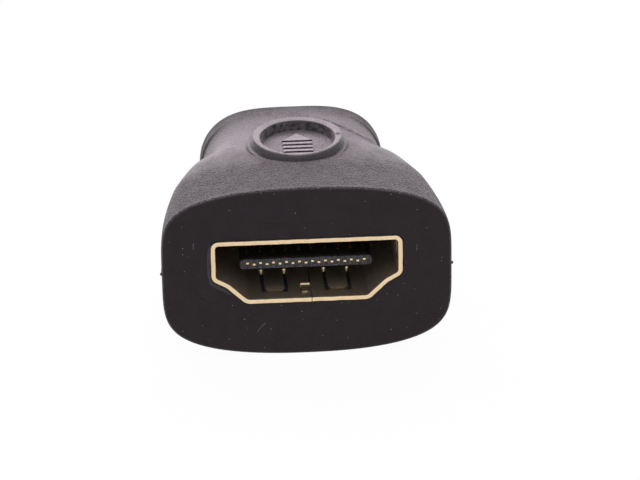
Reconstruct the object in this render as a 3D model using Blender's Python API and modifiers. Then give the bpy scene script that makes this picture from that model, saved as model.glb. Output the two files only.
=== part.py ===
"""Mini HDMI adapter: a type A socket and a type C plug on one small board, in a moulded rubber body.

Sub-parts are modelled with x to the right, y backwards from the body's front face and z up. The body's
own frame has z = 0 at its middle plane, where its mould parts, and the connectors' frame has z = 0 at the
board's middle. Each frame is an empty. Together they stand so that the finished adapter has its origin
at the bottom centre of its bounding box.
"""
import math

import bmesh
import bpy
from mathutils import Matrix, Vector

MM = 0.001

# Clearances
MOULD_GAP = 0.03 * MM  # between a moulding and what it is moulded round
SLOT_GAP = 0.03 * MM  # round each contact in its slot
BOARD_GAP = 0.03 * MM  # between a contact's tail and the board
BOARD_SIDE_GAP = 0.1 * MM  # between the board's edges and its room
PLUG_END_GAP = 0.1 * MM  # between the plug's front end and the board's room

# Rubber body: the front block
FACE_HALF_WIDTH = 11.14 * MM
FACE_HALF_HEIGHT = 6.94 * MM
FRONT_EDGE_RADIUS = 0.3 * MM
BLOCK_LENGTH = 15.0 * MM
BLOCK_END_HALF_WIDTH = 8.65 * MM
BLOCK_END_HALF_HEIGHT = 5.78 * MM
SIDE_TAPER_POWER = 1.7
TOP_DIP_POWER = 2.0

# Rubber body: the waist and the rear lobe
WAIST_LENGTH = 4.0 * MM
WAIST_SIDE_SAG = 0.4 * MM
WAIST_TOP_SAG = 0.15 * MM
LOBE_LENGTH = 5.0 * MM
LOBE_HALF_WIDTH = 7.5 * MM
LOBE_HALF_HEIGHT = 4.95 * MM
LOBE_END_HALF_HEIGHT = 4.5 * MM
LOBE_RIDGE = 1.8 * MM  # from the lobe's front edge back to its highest point
REAR_EDGE_RADIUS = 1.4 * MM
BODY_LENGTH = BLOCK_LENGTH + WAIST_LENGTH + LOBE_LENGTH

# Rubber body: squareness of its sections, from an ellipse at 2 towards a rectangle
FACE_SQUARENESS = (2.3, 4.7)
BLOCK_SQUARENESS = (3.9, 4.6)
WAIST_SQUARENESS = (2.65, 2.2)
LOBE_SQUARENESS = (3.0, 2.05)
REAR_SQUARENESS = (3.6, 2.05)
BLOCK_MIDDLE = 8.0 * MM
SECTION_POINTS = 56
BLOCK_STATIONS = 9
WAIST_STATIONS = 5
LOBE_STATIONS = 3

# Raised ring on top, with a sunk floor and a plain arrow mark
RING_CENTRE = 11.3 * MM
RING_LIP_HEIGHT = 6.6 * MM  # above the middle plane, at the ring's centre
RING_TILT = math.radians(2.0)
RING_STRETCH = 1.2  # along the adapter
RECESS_RADIUS = 3.02 * MM
RECESS_DEPTH = 0.8 * MM
RING_LIP_WIDTH = 0.4 * MM
RING_FLARE = 1.5 * MM
RING_SUNK_HEIGHT = 1.1 * MM
RING_SEGMENTS = 56
MARK_HEIGHT = 0.2 * MM
MARK_WIDTH = 2.4 * MM
MARK_BAR = 0.42 * MM
MARK_BARS = 3
MARK_PITCH = 0.85 * MM
MARK_HEAD = 1.3 * MM

# How the connectors sit in the body
BOARD_RISE = 0.15 * MM  # from the body's middle plane up to the board's
PLUG_RISE = -0.3 * MM  # from the board's middle plane to the plug's

# Type A socket
SOCKET_OPENING_WIDTH = 14.0 * MM
SOCKET_OPENING_HEIGHT = 4.55 * MM
SHELL_WALL = 0.35 * MM
SHELL_PROUD = 0.12 * MM  # the rim stands out of the body's face
SHELL_DEPTH = 11.0 * MM
SHELL_TOP_RADIUS = 0.6 * MM
SHELL_SIDE_RADIUS = 0.45 * MM
SHELL_STEP_RADIUS = 1.0 * MM
SHELL_BOTTOM_RADIUS = 0.5 * MM
SHELL_SIDE_HEIGHT = 3.22 * MM  # straight side, from the top down
SHELL_STEP_INWARD = 1.16 * MM
SHELL_STEP_DROP = 0.65 * MM
SHELL_FLOOR_HALF_WIDTH = 4.74 * MM
ARC_SEGMENTS = 4
SMALLEST_RADIUS = 0.05 * MM

SEAM_OFFSET = 0.45 * MM
SEAM_WIDTH = 0.05 * MM
SEAM_KEY_START = 1.5 * MM
SEAM_KEY_LENGTH = 1.5 * MM
SEAM_KEY_REACH = 0.75 * MM
SEAM_KEY_FLARE = 0.25 * MM

FINGER_WIDTH = 1.5 * MM
FINGER_SLOT = 0.3 * MM
FINGER_START = 1.15 * MM
FINGER_ROOT = 5.2 * MM
FINGER_BEND = 0.28 * MM  # how far the finger's bump stands into the opening
FINGER_BUMP = 0.8 * MM  # from the finger's free end back to its bump
FINGER_TIP_LIFT = 0.1 * MM
FINGER_BOW = 0.17 * MM  # how far the arm stands in where it starts to rise
FINGER_BOW_BACK = 1.6 * MM  # from the free end back to there
FINGER_STRAIGHT = 0.4 * MM  # the flat stretch in front of the root
FINGER_LAP = 0.2 * MM
FINGER_THINNING = 0.03 * MM  # taken off each of the finger's two faces
FINGER_SPREAD = 2.45 * MM  # from the middle to each finger, above and below

TONGUE_TIP = 1.5 * MM
TONGUE_THICKNESS = 1.0 * MM
TONGUE_SIDE_MARGIN = 0.6 * MM  # beyond the middle of the outermost contact
TONGUE_CORNER_RADIUS = 0.45 * MM
TONGUE_CHAMFER = 0.12 * MM
TONGUE_CHAMFER_LENGTH = 0.3 * MM
INSULATOR_THICKNESS = 3.3 * MM
INSULATOR_OVERHANG = 0.6 * MM  # out of the shell's rear end
INSULATOR_REAR = SHELL_DEPTH + INSULATOR_OVERHANG
TONGUE_ROOT = INSULATOR_REAR - INSULATOR_THICKNESS

SOCKET_PITCH = 0.5 * MM
SOCKET_CONTACTS = 19
CONTACT_WIDTH = 0.26 * MM
CONTACT_THICKNESS = 0.14 * MM
CONTACT_TIP_HEIGHT = 0.055 * MM  # from the middle plane to the strip's centre at the tip
CONTACT_DIVE_START = 0.5 * MM
CONTACT_DIVE_END = 1.3 * MM
CONTACT_TIP_INSET = 0.04 * MM
CONTACT_FLUSH = 0.02 * MM  # the strip stands this far out of the tongue
SOCKET_TAIL = 2.2 * MM
TONGUE_WIDTH = (SOCKET_CONTACTS - 1) * SOCKET_PITCH + 2 * TONGUE_SIDE_MARGIN

# Board
BOARD_SETBACK = 0.5 * MM  # behind the socket's insulator
BOARD_TO_REAR_FACE = 5.1 * MM  # from the board's rear edge to the body's rear face
BOARD_HALF_WIDTH = 5.7 * MM
BOARD_THICKNESS = 0.8 * MM
BOARD_FRONT = INSULATOR_REAR + BOARD_SETBACK
BOARD_REAR = BODY_LENGTH - BOARD_TO_REAR_FACE

# Inner moulding: the board's room and the walls round it
ROOM_ABOVE_BOARD = 1.2 * MM
ROOM_BEHIND_BOARD = 1.5 * MM
ROOM_HALF_WIDTH = BOARD_HALF_WIDTH + BOARD_SIDE_GAP
ROOM_HALF_HEIGHT = BOARD_THICKNESS / 2 + ROOM_ABOVE_BOARD
ROOM_REAR = BOARD_REAR + ROOM_BEHIND_BOARD
INNER_FRONT = 9.6 * MM
INNER_SEAT_WALL = 0.75 * MM  # round the socket's shell
INNER_STEP_BACK = 1.0 * MM  # from the socket's insulator back to the narrower block
INNER_SIDE_WALL = 0.6 * MM
INNER_COVER = 1.0 * MM  # over and under the board's room
INNER_END_WALL = 1.2 * MM
INNER_STEP = INSULATOR_REAR + INNER_STEP_BACK
INNER_REAR = ROOM_REAR + INNER_END_WALL

# Type C plug
PLUG_WIDTH = 10.42 * MM
PLUG_HEIGHT = 2.42 * MM
PLUG_WALL = 0.25 * MM
PLUG_REACH = 6.4 * MM  # out of the body's rear face
PLUG_SHELL_BACKSET = 0.1 * MM  # the shell starts this far behind the plastic's front end
PLUG_TOP_RADIUS = 0.35 * MM
PLUG_SIDE_RADIUS = 0.3 * MM
PLUG_BOTTOM_RADIUS = 0.4 * MM
PLUG_SIDE_HEIGHT = 1.1 * MM
PLUG_FLOOR_HALF_WIDTH = 3.95 * MM
PLUG_LATCH_SPREAD = 2.3 * MM
PLUG_LATCH_WIDTH = 1.2 * MM
PLUG_LATCH_LENGTH = 1.0 * MM
PLUG_LATCH_FROM_TIP = 3.2 * MM

FRAME_INSET = 0.35 * MM  # the plastic ends this far inside the plug's mouth
FRAME_FRONT = ROOM_REAR + PLUG_END_GAP
PLUG_SLOT_MARGIN = 0.55 * MM  # beyond the middle of the outermost contact
PLUG_SLOT_HEIGHT = 0.85 * MM
PLUG_SLOT_DEPTH = 5.4 * MM

PLUG_PITCH = 0.4 * MM
PLUG_CONTACTS = 19
PLUG_CONTACT_WIDTH = 0.2 * MM
PLUG_CONTACT_THICKNESS = 0.12 * MM
PLUG_CONTACT_INSET = 0.5 * MM  # from the plastic's end to the strip's tip
PLUG_CONTACT_PROUD = 0.04 * MM  # out of the slot's ceiling
PLUG_TAIL = 1.6 * MM
PLUG_TAIL_BEND = 0.35 * MM
PLUG_SLOT_WIDTH = (PLUG_CONTACTS - 1) * PLUG_PITCH + 2 * PLUG_SLOT_MARGIN

# Cutters reach this far past what they cut
OVERCUT = 0.5 * MM

# Edges flatter than this are shaded smooth
BODY_SMOOTH_ANGLE = math.radians(28.0)
SHEET_SMOOTH_ANGLE = math.radians(35.0)

# A strip's outline grows no longer at a bend than its thickness divided by this
SHARPEST_MITRE = 0.3


def clear_scene():
    for obj in list(bpy.data.objects):
        bpy.data.objects.remove(obj, do_unlink=True)


def new_collection(name):
    collection = bpy.data.collections.new(name)
    bpy.context.scene.collection.children.link(collection)
    return collection


def make_material(name, colour, roughness, metallic=0.0):
    material = bpy.data.materials.new(name)
    material.use_nodes = True
    shader = material.node_tree.nodes["Principled BSDF"]
    shader.inputs["Base Color"].default_value = (*colour, 1.0)
    shader.inputs["Roughness"].default_value = roughness
    shader.inputs["Metallic"].default_value = metallic
    material.diffuse_color = (*colour, 1.0)
    return material


class Workshop:
    """The collections, the two frames and the materials that every sub-part uses."""

    def __init__(self):
        self.parts = new_collection("mini_hdmi_adapter")
        self.cutters = new_collection("cutters")
        overall = SHELL_PROUD + BODY_LENGTH + PLUG_REACH
        self.body = self.new_frame("body_frame", (0.0, SHELL_PROUD - overall / 2, FACE_HALF_HEIGHT))
        self.board = self.new_frame("board_frame", (0.0, 0.0, BOARD_RISE))
        self.board.parent = self.body
        self.materials = {
            "rubber": make_material("black_rubber", (0.024, 0.021, 0.023), 0.5),
            "inner": make_material("natural_polythene", (0.62, 0.61, 0.56), 0.55),
            "gold": make_material("gold_plated_sheet", (0.79, 0.56, 0.27), 0.25, 1.0),
            "contact": make_material("gold_plated_contact", (0.83, 0.6, 0.26), 0.25, 1.0),
            "insulator": make_material("dark_insulator", (0.085, 0.075, 0.095), 0.45),
            "board": make_material("green_board", (0.03, 0.14, 0.06), 0.4),
        }

    def new_frame(self, name, location):
        frame = bpy.data.objects.new(name, None)
        frame.location = location
        self.parts.objects.link(frame)
        return frame

    def add(self, name, bm, material, at=(0.0, 0.0, 0.0), smooth=None, frame=None):
        """Finish a mesh, name it and hang it in a frame: the board's, unless another is given."""
        bmesh.ops.recalc_face_normals(bm, faces=bm.faces)
        mesh = bpy.data.meshes.new(name)
        bm.to_mesh(mesh)
        bm.free()
        if smooth is not None:
            mesh.shade_smooth()
            mesh.set_sharp_from_angle(angle=smooth)
        return self.place(name, mesh, material, at, frame)

    def place(self, name, mesh, material, at=(0.0, 0.0, 0.0), frame=None):
        if not mesh.materials:
            mesh.materials.append(self.materials[material])
        obj = bpy.data.objects.new(name, mesh)
        obj.parent = frame or self.board
        obj.location = at
        self.parts.objects.link(obj)
        return obj

    def add_cutter(self, name, bm, frame=None):
        bmesh.ops.recalc_face_normals(bm, faces=bm.faces)
        mesh = bpy.data.meshes.new(name)
        bm.to_mesh(mesh)
        bm.free()
        cutter = bpy.data.objects.new(name, mesh)
        cutter.parent = frame or self.board
        cutter.hide_render = True
        cutter.display_type = "WIRE"
        self.cutters.objects.link(cutter)
        return cutter


def combine(obj, other, operation):
    modifier = obj.modifiers.new(f"{operation.lower()}_{other.name}", "BOOLEAN")
    modifier.operation = operation
    modifier.solver = "EXACT"
    modifier.object = other


# How an outline's (u, v) point and its depth lie in the frame, for each plane it can be drawn in
PLANES = {
    "xz": lambda u, v, depth: (u, depth, v),
    "yz": lambda u, v, depth: (depth, u, v),
    "xy": lambda u, v, depth: (u, v, depth),
}


def add_prism(bm, outline, plane, start, end):
    """A flat outline extruded from start to end, square to its plane."""
    place = PLANES[plane]
    face = bm.faces.new([bm.verts.new(place(u, v, start)) for u, v in outline])
    swept = bmesh.ops.extrude_face_region(bm, geom=[face])["geom"]
    moved = [item for item in swept if isinstance(item, bmesh.types.BMVert)]
    bmesh.ops.translate(bm, verts=moved, vec=Vector(place(0.0, 0.0, end - start)))


def add_box(bm, low, high):
    size = Vector(high) - Vector(low)
    centre = (Vector(high) + Vector(low)) / 2
    matrix = Matrix.Translation(centre) @ Matrix.Diagonal((*size, 1.0))
    bmesh.ops.create_cube(bm, size=1.0, matrix=matrix)


def crossing(line_a, line_b):
    """Where two lines meet, each given by a point and a direction."""
    (ax, ay), (adx, ady) = line_a
    (bx, by), (bdx, bdy) = line_b
    along = ((bx - ax) * bdy - (by - ay) * bdx) / (adx * bdy - ady * bdx)
    return ax + along * adx, ay + along * ady


def offset_corners(corners, distance):
    """Move each side of a clockwise polygon outwards by a distance; inwards where it is negative."""
    lines = []
    for (ax, ay), (bx, by) in zip(corners, corners[1:] + corners[:1]):
        length = math.hypot(bx - ax, by - ay)
        dx, dy = (bx - ax) / length, (by - ay) / length
        lines.append(((ax - dy * distance, ay + dx * distance), (dx, dy)))
    return [crossing(before, after) for before, after in zip(lines[-1:] + lines[:-1], lines)]


def rounded(corners, radii, segments=ARC_SEGMENTS):
    """A polygon with each corner replaced by an arc of its own radius."""
    points = []
    for index, (corner, radius) in enumerate(zip(corners, radii)):
        corner = Vector(corner)
        to_before = (Vector(corners[index - 1]) - corner).normalized()
        to_after = (Vector(corners[(index + 1) % len(corners)]) - corner).normalized()
        half_angle = to_before.angle(to_after) / 2
        middle = corner + (to_before + to_after).normalized() * radius / math.sin(half_angle)
        first = corner + to_before * radius / math.tan(half_angle) - middle
        turn = math.pi - 2 * half_angle
        if to_before.x * to_after.y - to_before.y * to_after.x > 0:
            turn = -turn
        for step in range(segments + 1):
            angle = turn * step / segments
            x = first.x * math.cos(angle) - first.y * math.sin(angle)
            y = first.x * math.sin(angle) + first.y * math.cos(angle)
            points.append((middle.x + x, middle.y + y))
    return points


def shell_outline(half_corners, radii, distance):
    """A connector shell's outline, offset by a distance, from the corners of its right half, top first.

    Each corner's radius is positive where the outline turns outwards and negative where it turns in.
    """
    corners = half_corners + [(-x, z) for x, z in reversed(half_corners)]
    grown = []
    for radius in radii + radii[::-1]:
        change = distance if radius > 0 else -distance
        grown.append(max(abs(radius) + change, SMALLEST_RADIUS))
    return rounded(offset_corners(corners, distance), grown)


def strip_outline(path, thickness):
    """The outline of a bent strip of even thickness, from the line along its middle."""
    sides = ([], [])
    for index, point in enumerate(path):
        point = Vector(point)
        before = Vector(path[max(index - 1, 0)])
        after = Vector(path[min(index + 1, len(path) - 1)])
        incoming = (point - before).normalized() if index else (after - point).normalized()
        outgoing = (after - point).normalized() if index < len(path) - 1 else incoming
        normal = Vector((-(incoming.y + outgoing.y), incoming.x + outgoing.x)).normalized()
        reach = thickness / 2 / max(normal.dot(Vector((-incoming.y, incoming.x))), SHARPEST_MITRE)
        sides[0].append(tuple(point + normal * reach))
        sides[1].append(tuple(point - normal * reach))
    return sides[0] + sides[1][::-1]


def socket_outline(distance=0.0):
    """The type A shell's outside, offset outwards by a distance."""
    half_width = SOCKET_OPENING_WIDTH / 2 + SHELL_WALL
    top = SOCKET_OPENING_HEIGHT / 2 + SHELL_WALL
    side_bottom = top - SHELL_SIDE_HEIGHT
    half_corners = [
        (half_width, top),
        (half_width, side_bottom),
        (half_width - SHELL_STEP_INWARD, side_bottom - SHELL_STEP_DROP),
        (SHELL_FLOOR_HALF_WIDTH, -top),
    ]
    radii = [SHELL_TOP_RADIUS, SHELL_SIDE_RADIUS, -SHELL_STEP_RADIUS, SHELL_BOTTOM_RADIUS]
    return shell_outline(half_corners, radii, distance)


def plug_outline(distance=0.0):
    """The type C shell's outside, offset outwards by a distance."""
    half_width = PLUG_WIDTH / 2
    top = PLUG_RISE + PLUG_HEIGHT / 2
    half_corners = [
        (half_width, top),
        (half_width, top - PLUG_SIDE_HEIGHT),
        (PLUG_FLOOR_HALF_WIDTH, top - PLUG_HEIGHT),
    ]
    radii = [PLUG_TOP_RADIUS, PLUG_SIDE_RADIUS, PLUG_BOTTOM_RADIUS]
    return shell_outline(half_corners, radii, distance)


def folded_tube(bm, outline, start, end):
    """An outline swept from start to end as an open sheet, for Solidify to thicken inwards."""
    ends = [[bm.verts.new((x, y, z)) for x, z in outline] for y in (start, end)]
    loops = [bm.edges.new((a, b)) for a, b in zip(ends[0], ends[0][1:] + ends[0][:1])]
    loops += [bm.edges.new((a, b)) for a, b in zip(ends[1], ends[1][1:] + ends[1][:1])]
    bmesh.ops.bridge_loops(bm, edges=loops)


def add_sheet_thickness(obj, wall):
    solidify = obj.modifiers.new("sheet", "SOLIDIFY")
    solidify.thickness = wall
    solidify.offset = -1.0
    solidify.use_even_offset = True


def lobe_half_height(y):
    """Half-height along the rear lobe, highest at its ridge."""
    ridge = BLOCK_LENGTH + WAIST_LENGTH + LOBE_RIDGE
    share = (y - ridge) / (BODY_LENGTH - ridge)
    return LOBE_HALF_HEIGHT - (LOBE_HALF_HEIGHT - LOBE_END_HALF_HEIGHT) * share ** 2


def body_half_size(y):
    """Half-width and half-height of the rubber body at a distance behind its front face."""
    waist_end = BLOCK_LENGTH + WAIST_LENGTH
    if y <= BLOCK_LENGTH:
        share = max(y - FRONT_EDGE_RADIUS, 0.0) / (BLOCK_LENGTH - FRONT_EDGE_RADIUS)
        narrowing = FACE_HALF_WIDTH - BLOCK_END_HALF_WIDTH
        dip = FACE_HALF_HEIGHT - BLOCK_END_HALF_HEIGHT
        width = FACE_HALF_WIDTH - narrowing * share ** SIDE_TAPER_POWER
        height = BLOCK_END_HALF_HEIGHT + dip * (1.0 - share) ** TOP_DIP_POWER
    elif y < waist_end:
        share = (y - BLOCK_LENGTH) / WAIST_LENGTH
        sag = 4.0 * share * (1.0 - share)
        width = BLOCK_END_HALF_WIDTH * (1.0 - share) + LOBE_HALF_WIDTH * share - WAIST_SIDE_SAG * sag
        lobe_front = lobe_half_height(waist_end)
        height = BLOCK_END_HALF_HEIGHT * (1.0 - share) + lobe_front * share - WAIST_TOP_SAG * sag
    else:
        width, height = LOBE_HALF_WIDTH, lobe_half_height(y)
    return width, height


def edge_inset(y):
    """How far the rounded front and rear edges pull a section in."""
    for depth, radius in ((y, FRONT_EDGE_RADIUS), (BODY_LENGTH - y, REAR_EDGE_RADIUS)):
        if depth < radius:
            return radius - math.sqrt(max(radius ** 2 - (radius - depth) ** 2, 0.0))
    return 0.0


def squareness(y):
    """The two powers of the section's superellipse, passed evenly from one station to the next."""
    stations = [
        (0.0, FACE_SQUARENESS),
        (BLOCK_MIDDLE, BLOCK_SQUARENESS),
        (BLOCK_LENGTH, WAIST_SQUARENESS),
        (BLOCK_LENGTH + WAIST_LENGTH, LOBE_SQUARENESS),
        (BODY_LENGTH, REAR_SQUARENESS),
    ]
    for (start, before), (end, after) in zip(stations, stations[1:]):
        if y <= end:
            share = (y - start) / (end - start)
            return tuple(a + (b - a) * share for a, b in zip(before, after))
    return REAR_SQUARENESS


def section_point(y, angle):
    width, height = body_half_size(y)
    inset = edge_inset(y)
    across, upright = squareness(y)
    cosine, sine = math.cos(angle), math.sin(angle)
    x = math.copysign(abs(cosine) ** (2.0 / across), cosine) * (width - inset)
    z = math.copysign(abs(sine) ** (2.0 / upright), sine) * (height - inset)
    return x, y, z


def evenly(start, end, count):
    return [start + (end - start) * k / count for k in range(1, count + 1)]


def body_stations():
    """Where the body's sections lie: close together on the rounded edges, and on each crease."""
    front = [FRONT_EDGE_RADIUS * (1.0 - math.cos(math.radians(a))) for a in (0.0, 45.0, 90.0)]
    lobe_front = BLOCK_LENGTH + WAIST_LENGTH
    lobe_end = BODY_LENGTH - REAR_EDGE_RADIUS
    block = evenly(FRONT_EDGE_RADIUS, BLOCK_LENGTH, BLOCK_STATIONS)
    waist = evenly(BLOCK_LENGTH, lobe_front, WAIST_STATIONS)
    lobe = evenly(lobe_front, lobe_end, LOBE_STATIONS)
    rear = [lobe_end + REAR_EDGE_RADIUS * math.sin(math.radians(a)) for a in (25.0, 50.0, 72.0, 90.0)]
    return front + block + waist + lobe + rear


def build_body_loft():
    """The rubber body's outside: a loft through unlike sections, closed by its two flat ends."""
    bm = bmesh.new()
    angles = [2.0 * math.pi * k / SECTION_POINTS for k in range(SECTION_POINTS)]
    rings = [[bm.verts.new(section_point(y, angle)) for angle in angles] for y in body_stations()]
    for ring, following in zip(rings, rings[1:]):
        for k in range(SECTION_POINTS):
            j = (k + 1) % SECTION_POINTS
            bm.faces.new((ring[k], ring[j], following[j], following[k]))
    bm.faces.new(rings[0][::-1])
    bm.faces.new(rings[-1])
    return bm


def ring_matrix():
    """The raised ring's own frame: its lip plane, tilted a little towards the socket's end."""
    place = Matrix.Translation((0.0, RING_CENTRE, RING_LIP_HEIGHT))
    return place @ Matrix.Rotation(RING_TILT, 4, "X") @ Matrix.Diagonal((1.0, RING_STRETCH, 1.0, 1.0))


def build_ring(shop):
    """The ring's outside as a cone whose foot is sunk in the body."""
    bm = bmesh.new()
    lip_radius = RECESS_RADIUS + RING_LIP_WIDTH
    foot = Matrix.Translation((0.0, 0.0, -RING_SUNK_HEIGHT / 2))
    bmesh.ops.create_cone(
        bm, cap_ends=True, segments=RING_SEGMENTS, radius1=lip_radius + RING_FLARE,
        radius2=lip_radius, depth=RING_SUNK_HEIGHT, matrix=ring_matrix() @ foot,
    )
    return shop.add_cutter("ring_blank", bm, shop.body)


def build_recess(shop):
    bm = bmesh.new()
    depth = RECESS_DEPTH + OVERCUT
    middle = Matrix.Translation((0.0, 0.0, OVERCUT - depth / 2))
    bmesh.ops.create_cone(
        bm, cap_ends=True, segments=RING_SEGMENTS, radius1=RECESS_RADIUS,
        radius2=RECESS_RADIUS, depth=depth, matrix=ring_matrix() @ middle,
    )
    return shop.add_cutter("recess_cutter", bm, shop.body)


def build_mark(shop):
    """A plain arrow that shows which way the plug points: a head behind a row of bars."""
    bm = bmesh.new()
    floor = -RECESS_DEPTH
    row_length = (MARK_BARS - 1) * MARK_PITCH + MARK_BAR
    first = -(row_length + MARK_PITCH - MARK_BAR + MARK_HEAD) / 2
    for k in range(MARK_BARS):
        start = first + k * MARK_PITCH
        low = (-MARK_WIDTH / 2, start, floor - MARK_HEIGHT)
        add_box(bm, low, (MARK_WIDTH / 2, start + MARK_BAR, floor + MARK_HEIGHT))
    base = first + MARK_BARS * MARK_PITCH
    head = [(-MARK_WIDTH / 2, base), (MARK_WIDTH / 2, base), (0.0, base + MARK_HEAD)]
    add_prism(bm, head, "xy", floor - MARK_HEIGHT, floor + MARK_HEIGHT)
    bmesh.ops.transform(bm, matrix=ring_matrix(), verts=bm.verts)
    return shop.add_cutter("arrow_mark", bm, shop.body)


def inner_blocks(grow=0.0):
    """Low and high corners of the inner moulding's two blocks, grown on every side."""
    wide = SOCKET_OPENING_WIDTH / 2 + SHELL_WALL + INNER_SEAT_WALL + grow
    tall = SOCKET_OPENING_HEIGHT / 2 + SHELL_WALL + INNER_SEAT_WALL + grow
    front = ((-wide, INNER_FRONT - grow, -tall), (wide, INNER_STEP + grow, tall))
    wide = ROOM_HALF_WIDTH + INNER_SIDE_WALL + grow
    tall = ROOM_HALF_HEIGHT + INNER_COVER + grow
    rear = ((-wide, INNER_STEP - OVERCUT, -tall), (wide, INNER_REAR + grow, tall))
    return front, rear


def build_overmould(shop):
    loft = build_body_loft()
    body = shop.add("overmould", loft, "rubber", smooth=BODY_SMOOTH_ANGLE, frame=shop.body)
    combine(body, build_ring(shop), "UNION")
    combine(body, build_recess(shop), "DIFFERENCE")
    combine(body, build_mark(shop), "UNION")

    mouth = bmesh.new()
    add_prism(mouth, socket_outline(MOULD_GAP), "xz", -OVERCUT, INNER_FRONT + OVERCUT)
    combine(body, shop.add_cutter("socket_passage", mouth), "DIFFERENCE")
    for name, (low, high) in zip(("inner_front_room", "inner_rear_room"), inner_blocks(MOULD_GAP)):
        room = bmesh.new()
        add_box(room, low, high)
        combine(body, shop.add_cutter(name, room), "DIFFERENCE")
    rear = bmesh.new()
    add_prism(rear, plug_outline(MOULD_GAP), "xz", INNER_REAR - OVERCUT, BODY_LENGTH + OVERCUT)
    combine(body, shop.add_cutter("plug_passage", rear), "DIFFERENCE")


def build_inner_mould(shop):
    """The hard block round the board, with a seat for each shell at its ends."""
    bm = bmesh.new()
    front, rear = inner_blocks()
    add_box(bm, *front)
    inner = shop.add("inner_mould", bm, "inner")
    extension = bmesh.new()
    add_box(extension, *rear)
    combine(inner, shop.add_cutter("inner_rear_block", extension), "UNION")

    seat = bmesh.new()
    add_prism(seat, socket_outline(MOULD_GAP), "xz", INNER_FRONT - OVERCUT, INSULATOR_REAR + MOULD_GAP)
    combine(inner, shop.add_cutter("socket_seat", seat), "DIFFERENCE")
    room = bmesh.new()
    low = (-ROOM_HALF_WIDTH, INSULATOR_REAR - OVERCUT, -ROOM_HALF_HEIGHT)
    add_box(room, low, (ROOM_HALF_WIDTH, ROOM_REAR, ROOM_HALF_HEIGHT))
    combine(inner, shop.add_cutter("board_room", room), "DIFFERENCE")
    exit_way = bmesh.new()
    add_prism(exit_way, plug_outline(MOULD_GAP), "xz", ROOM_REAR - OVERCUT, INNER_REAR + OVERCUT)
    combine(inner, shop.add_cutter("plug_seat", exit_way), "DIFFERENCE")


def finger_strip_path():
    """The line along a spring finger's middle: from its root in the wall to a bump near the mouth."""
    wall_middle = SHELL_WALL / 2
    free_end = FINGER_START + FINGER_SLOT
    return [
        (FINGER_ROOT + FINGER_LAP, wall_middle),
        (FINGER_ROOT - FINGER_STRAIGHT, wall_middle),
        (free_end + FINGER_BOW_BACK, wall_middle + FINGER_BOW),
        (free_end + FINGER_BUMP, wall_middle + FINGER_BEND),
        (free_end, wall_middle + FINGER_TIP_LIFT),
    ]


def finger_places():
    """Each spring finger's frame: its own x across, y backwards and z from the wall's outside inwards."""
    half_width = SOCKET_OPENING_WIDTH / 2 + SHELL_WALL
    top = SOCKET_OPENING_HEIGHT / 2 + SHELL_WALL
    side_middle = top - SHELL_SIDE_HEIGHT / 2
    places = []
    for x in (-FINGER_SPREAD, FINGER_SPREAD):
        places.append(Matrix.Translation((x, 0.0, -top)))
        places.append(Matrix.Translation((x, 0.0, top)) @ Matrix.Rotation(math.pi, 4, "Y"))
    for side in (-1, 1):
        turn = Matrix.Rotation(-side * math.pi / 2, 4, "Y")
        places.append(Matrix.Translation((side * half_width, 0.0, side_middle)) @ turn)
    return places


def build_socket_shell(shop):
    """The folded and plated sheet of the socket, with six spring fingers and its keyed seam."""
    bm = bmesh.new()
    folded_tube(bm, socket_outline(), -SHELL_PROUD, SHELL_DEPTH)
    shell = shop.add("socket_shell", bm, "gold", smooth=SHEET_SMOOTH_ANGLE)
    add_sheet_thickness(shell, SHELL_WALL)

    windows = bmesh.new()
    strips = bmesh.new()
    reach = FINGER_WIDTH / 2 + FINGER_SLOT
    for place in finger_places():
        window = bmesh.new()
        add_box(window, (-reach, FINGER_START, -OVERCUT), (reach, FINGER_ROOT, SHELL_WALL + OVERCUT))
        strip = bmesh.new()
        outline = strip_outline(finger_strip_path(), SHELL_WALL - 2 * FINGER_THINNING)
        add_prism(strip, outline, "yz", -FINGER_WIDTH / 2, FINGER_WIDTH / 2)
        for piece, gathered in ((window, windows), (strip, strips)):
            bmesh.ops.transform(piece, matrix=place, verts=piece.verts)
            mesh = bpy.data.meshes.new("gathered")
            piece.to_mesh(mesh)
            piece.free()
            gathered.from_mesh(mesh)
            bpy.data.meshes.remove(mesh)
    combine(shell, shop.add_cutter("finger_windows", windows), "DIFFERENCE")
    combine(shell, shop.add_cutter("finger_strips", strips), "UNION")
    combine(shell, build_seam(shop), "DIFFERENCE")


def build_seam(shop):
    """The gap where the sheet's two edges meet below, with a key that locks one into the other."""
    wide = SEAM_KEY_REACH
    flare = SEAM_KEY_FLARE
    start, end = SEAM_KEY_START, SEAM_KEY_START + SEAM_KEY_LENGTH
    path = [
        (SEAM_OFFSET, -SHELL_PROUD - OVERCUT),
        (SEAM_OFFSET, start),
        (SEAM_OFFSET + wide, start - flare),
        (SEAM_OFFSET + wide, end + flare),
        (SEAM_OFFSET, end),
        (SEAM_OFFSET, SHELL_DEPTH + OVERCUT),
    ]
    below = -SOCKET_OPENING_HEIGHT / 2 - SHELL_WALL
    bm = bmesh.new()
    add_prism(bm, strip_outline(path, SEAM_WIDTH), "xy", below - OVERCUT, below + SHELL_WALL + OVERCUT)
    return shop.add_cutter("seam_cutter", bm)


def socket_contact_path(side):
    """The line along a socket contact's middle; side is 1 above the tongue and -1 below it."""
    surface = TONGUE_THICKNESS / 2 + CONTACT_FLUSH - CONTACT_THICKNESS / 2
    tail = BOARD_THICKNESS / 2 + BOARD_GAP + CONTACT_THICKNESS / 2
    return [
        (TONGUE_TIP + CONTACT_TIP_INSET, side * CONTACT_TIP_HEIGHT),
        (TONGUE_TIP + CONTACT_DIVE_START, side * CONTACT_TIP_HEIGHT),
        (TONGUE_TIP + CONTACT_DIVE_END, side * surface),
        (INSULATOR_REAR + (BOARD_FRONT - INSULATOR_REAR) / 3, side * surface),
        (BOARD_FRONT, side * tail),
        (INSULATOR_REAR + SOCKET_TAIL, side * tail),
    ]


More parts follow.
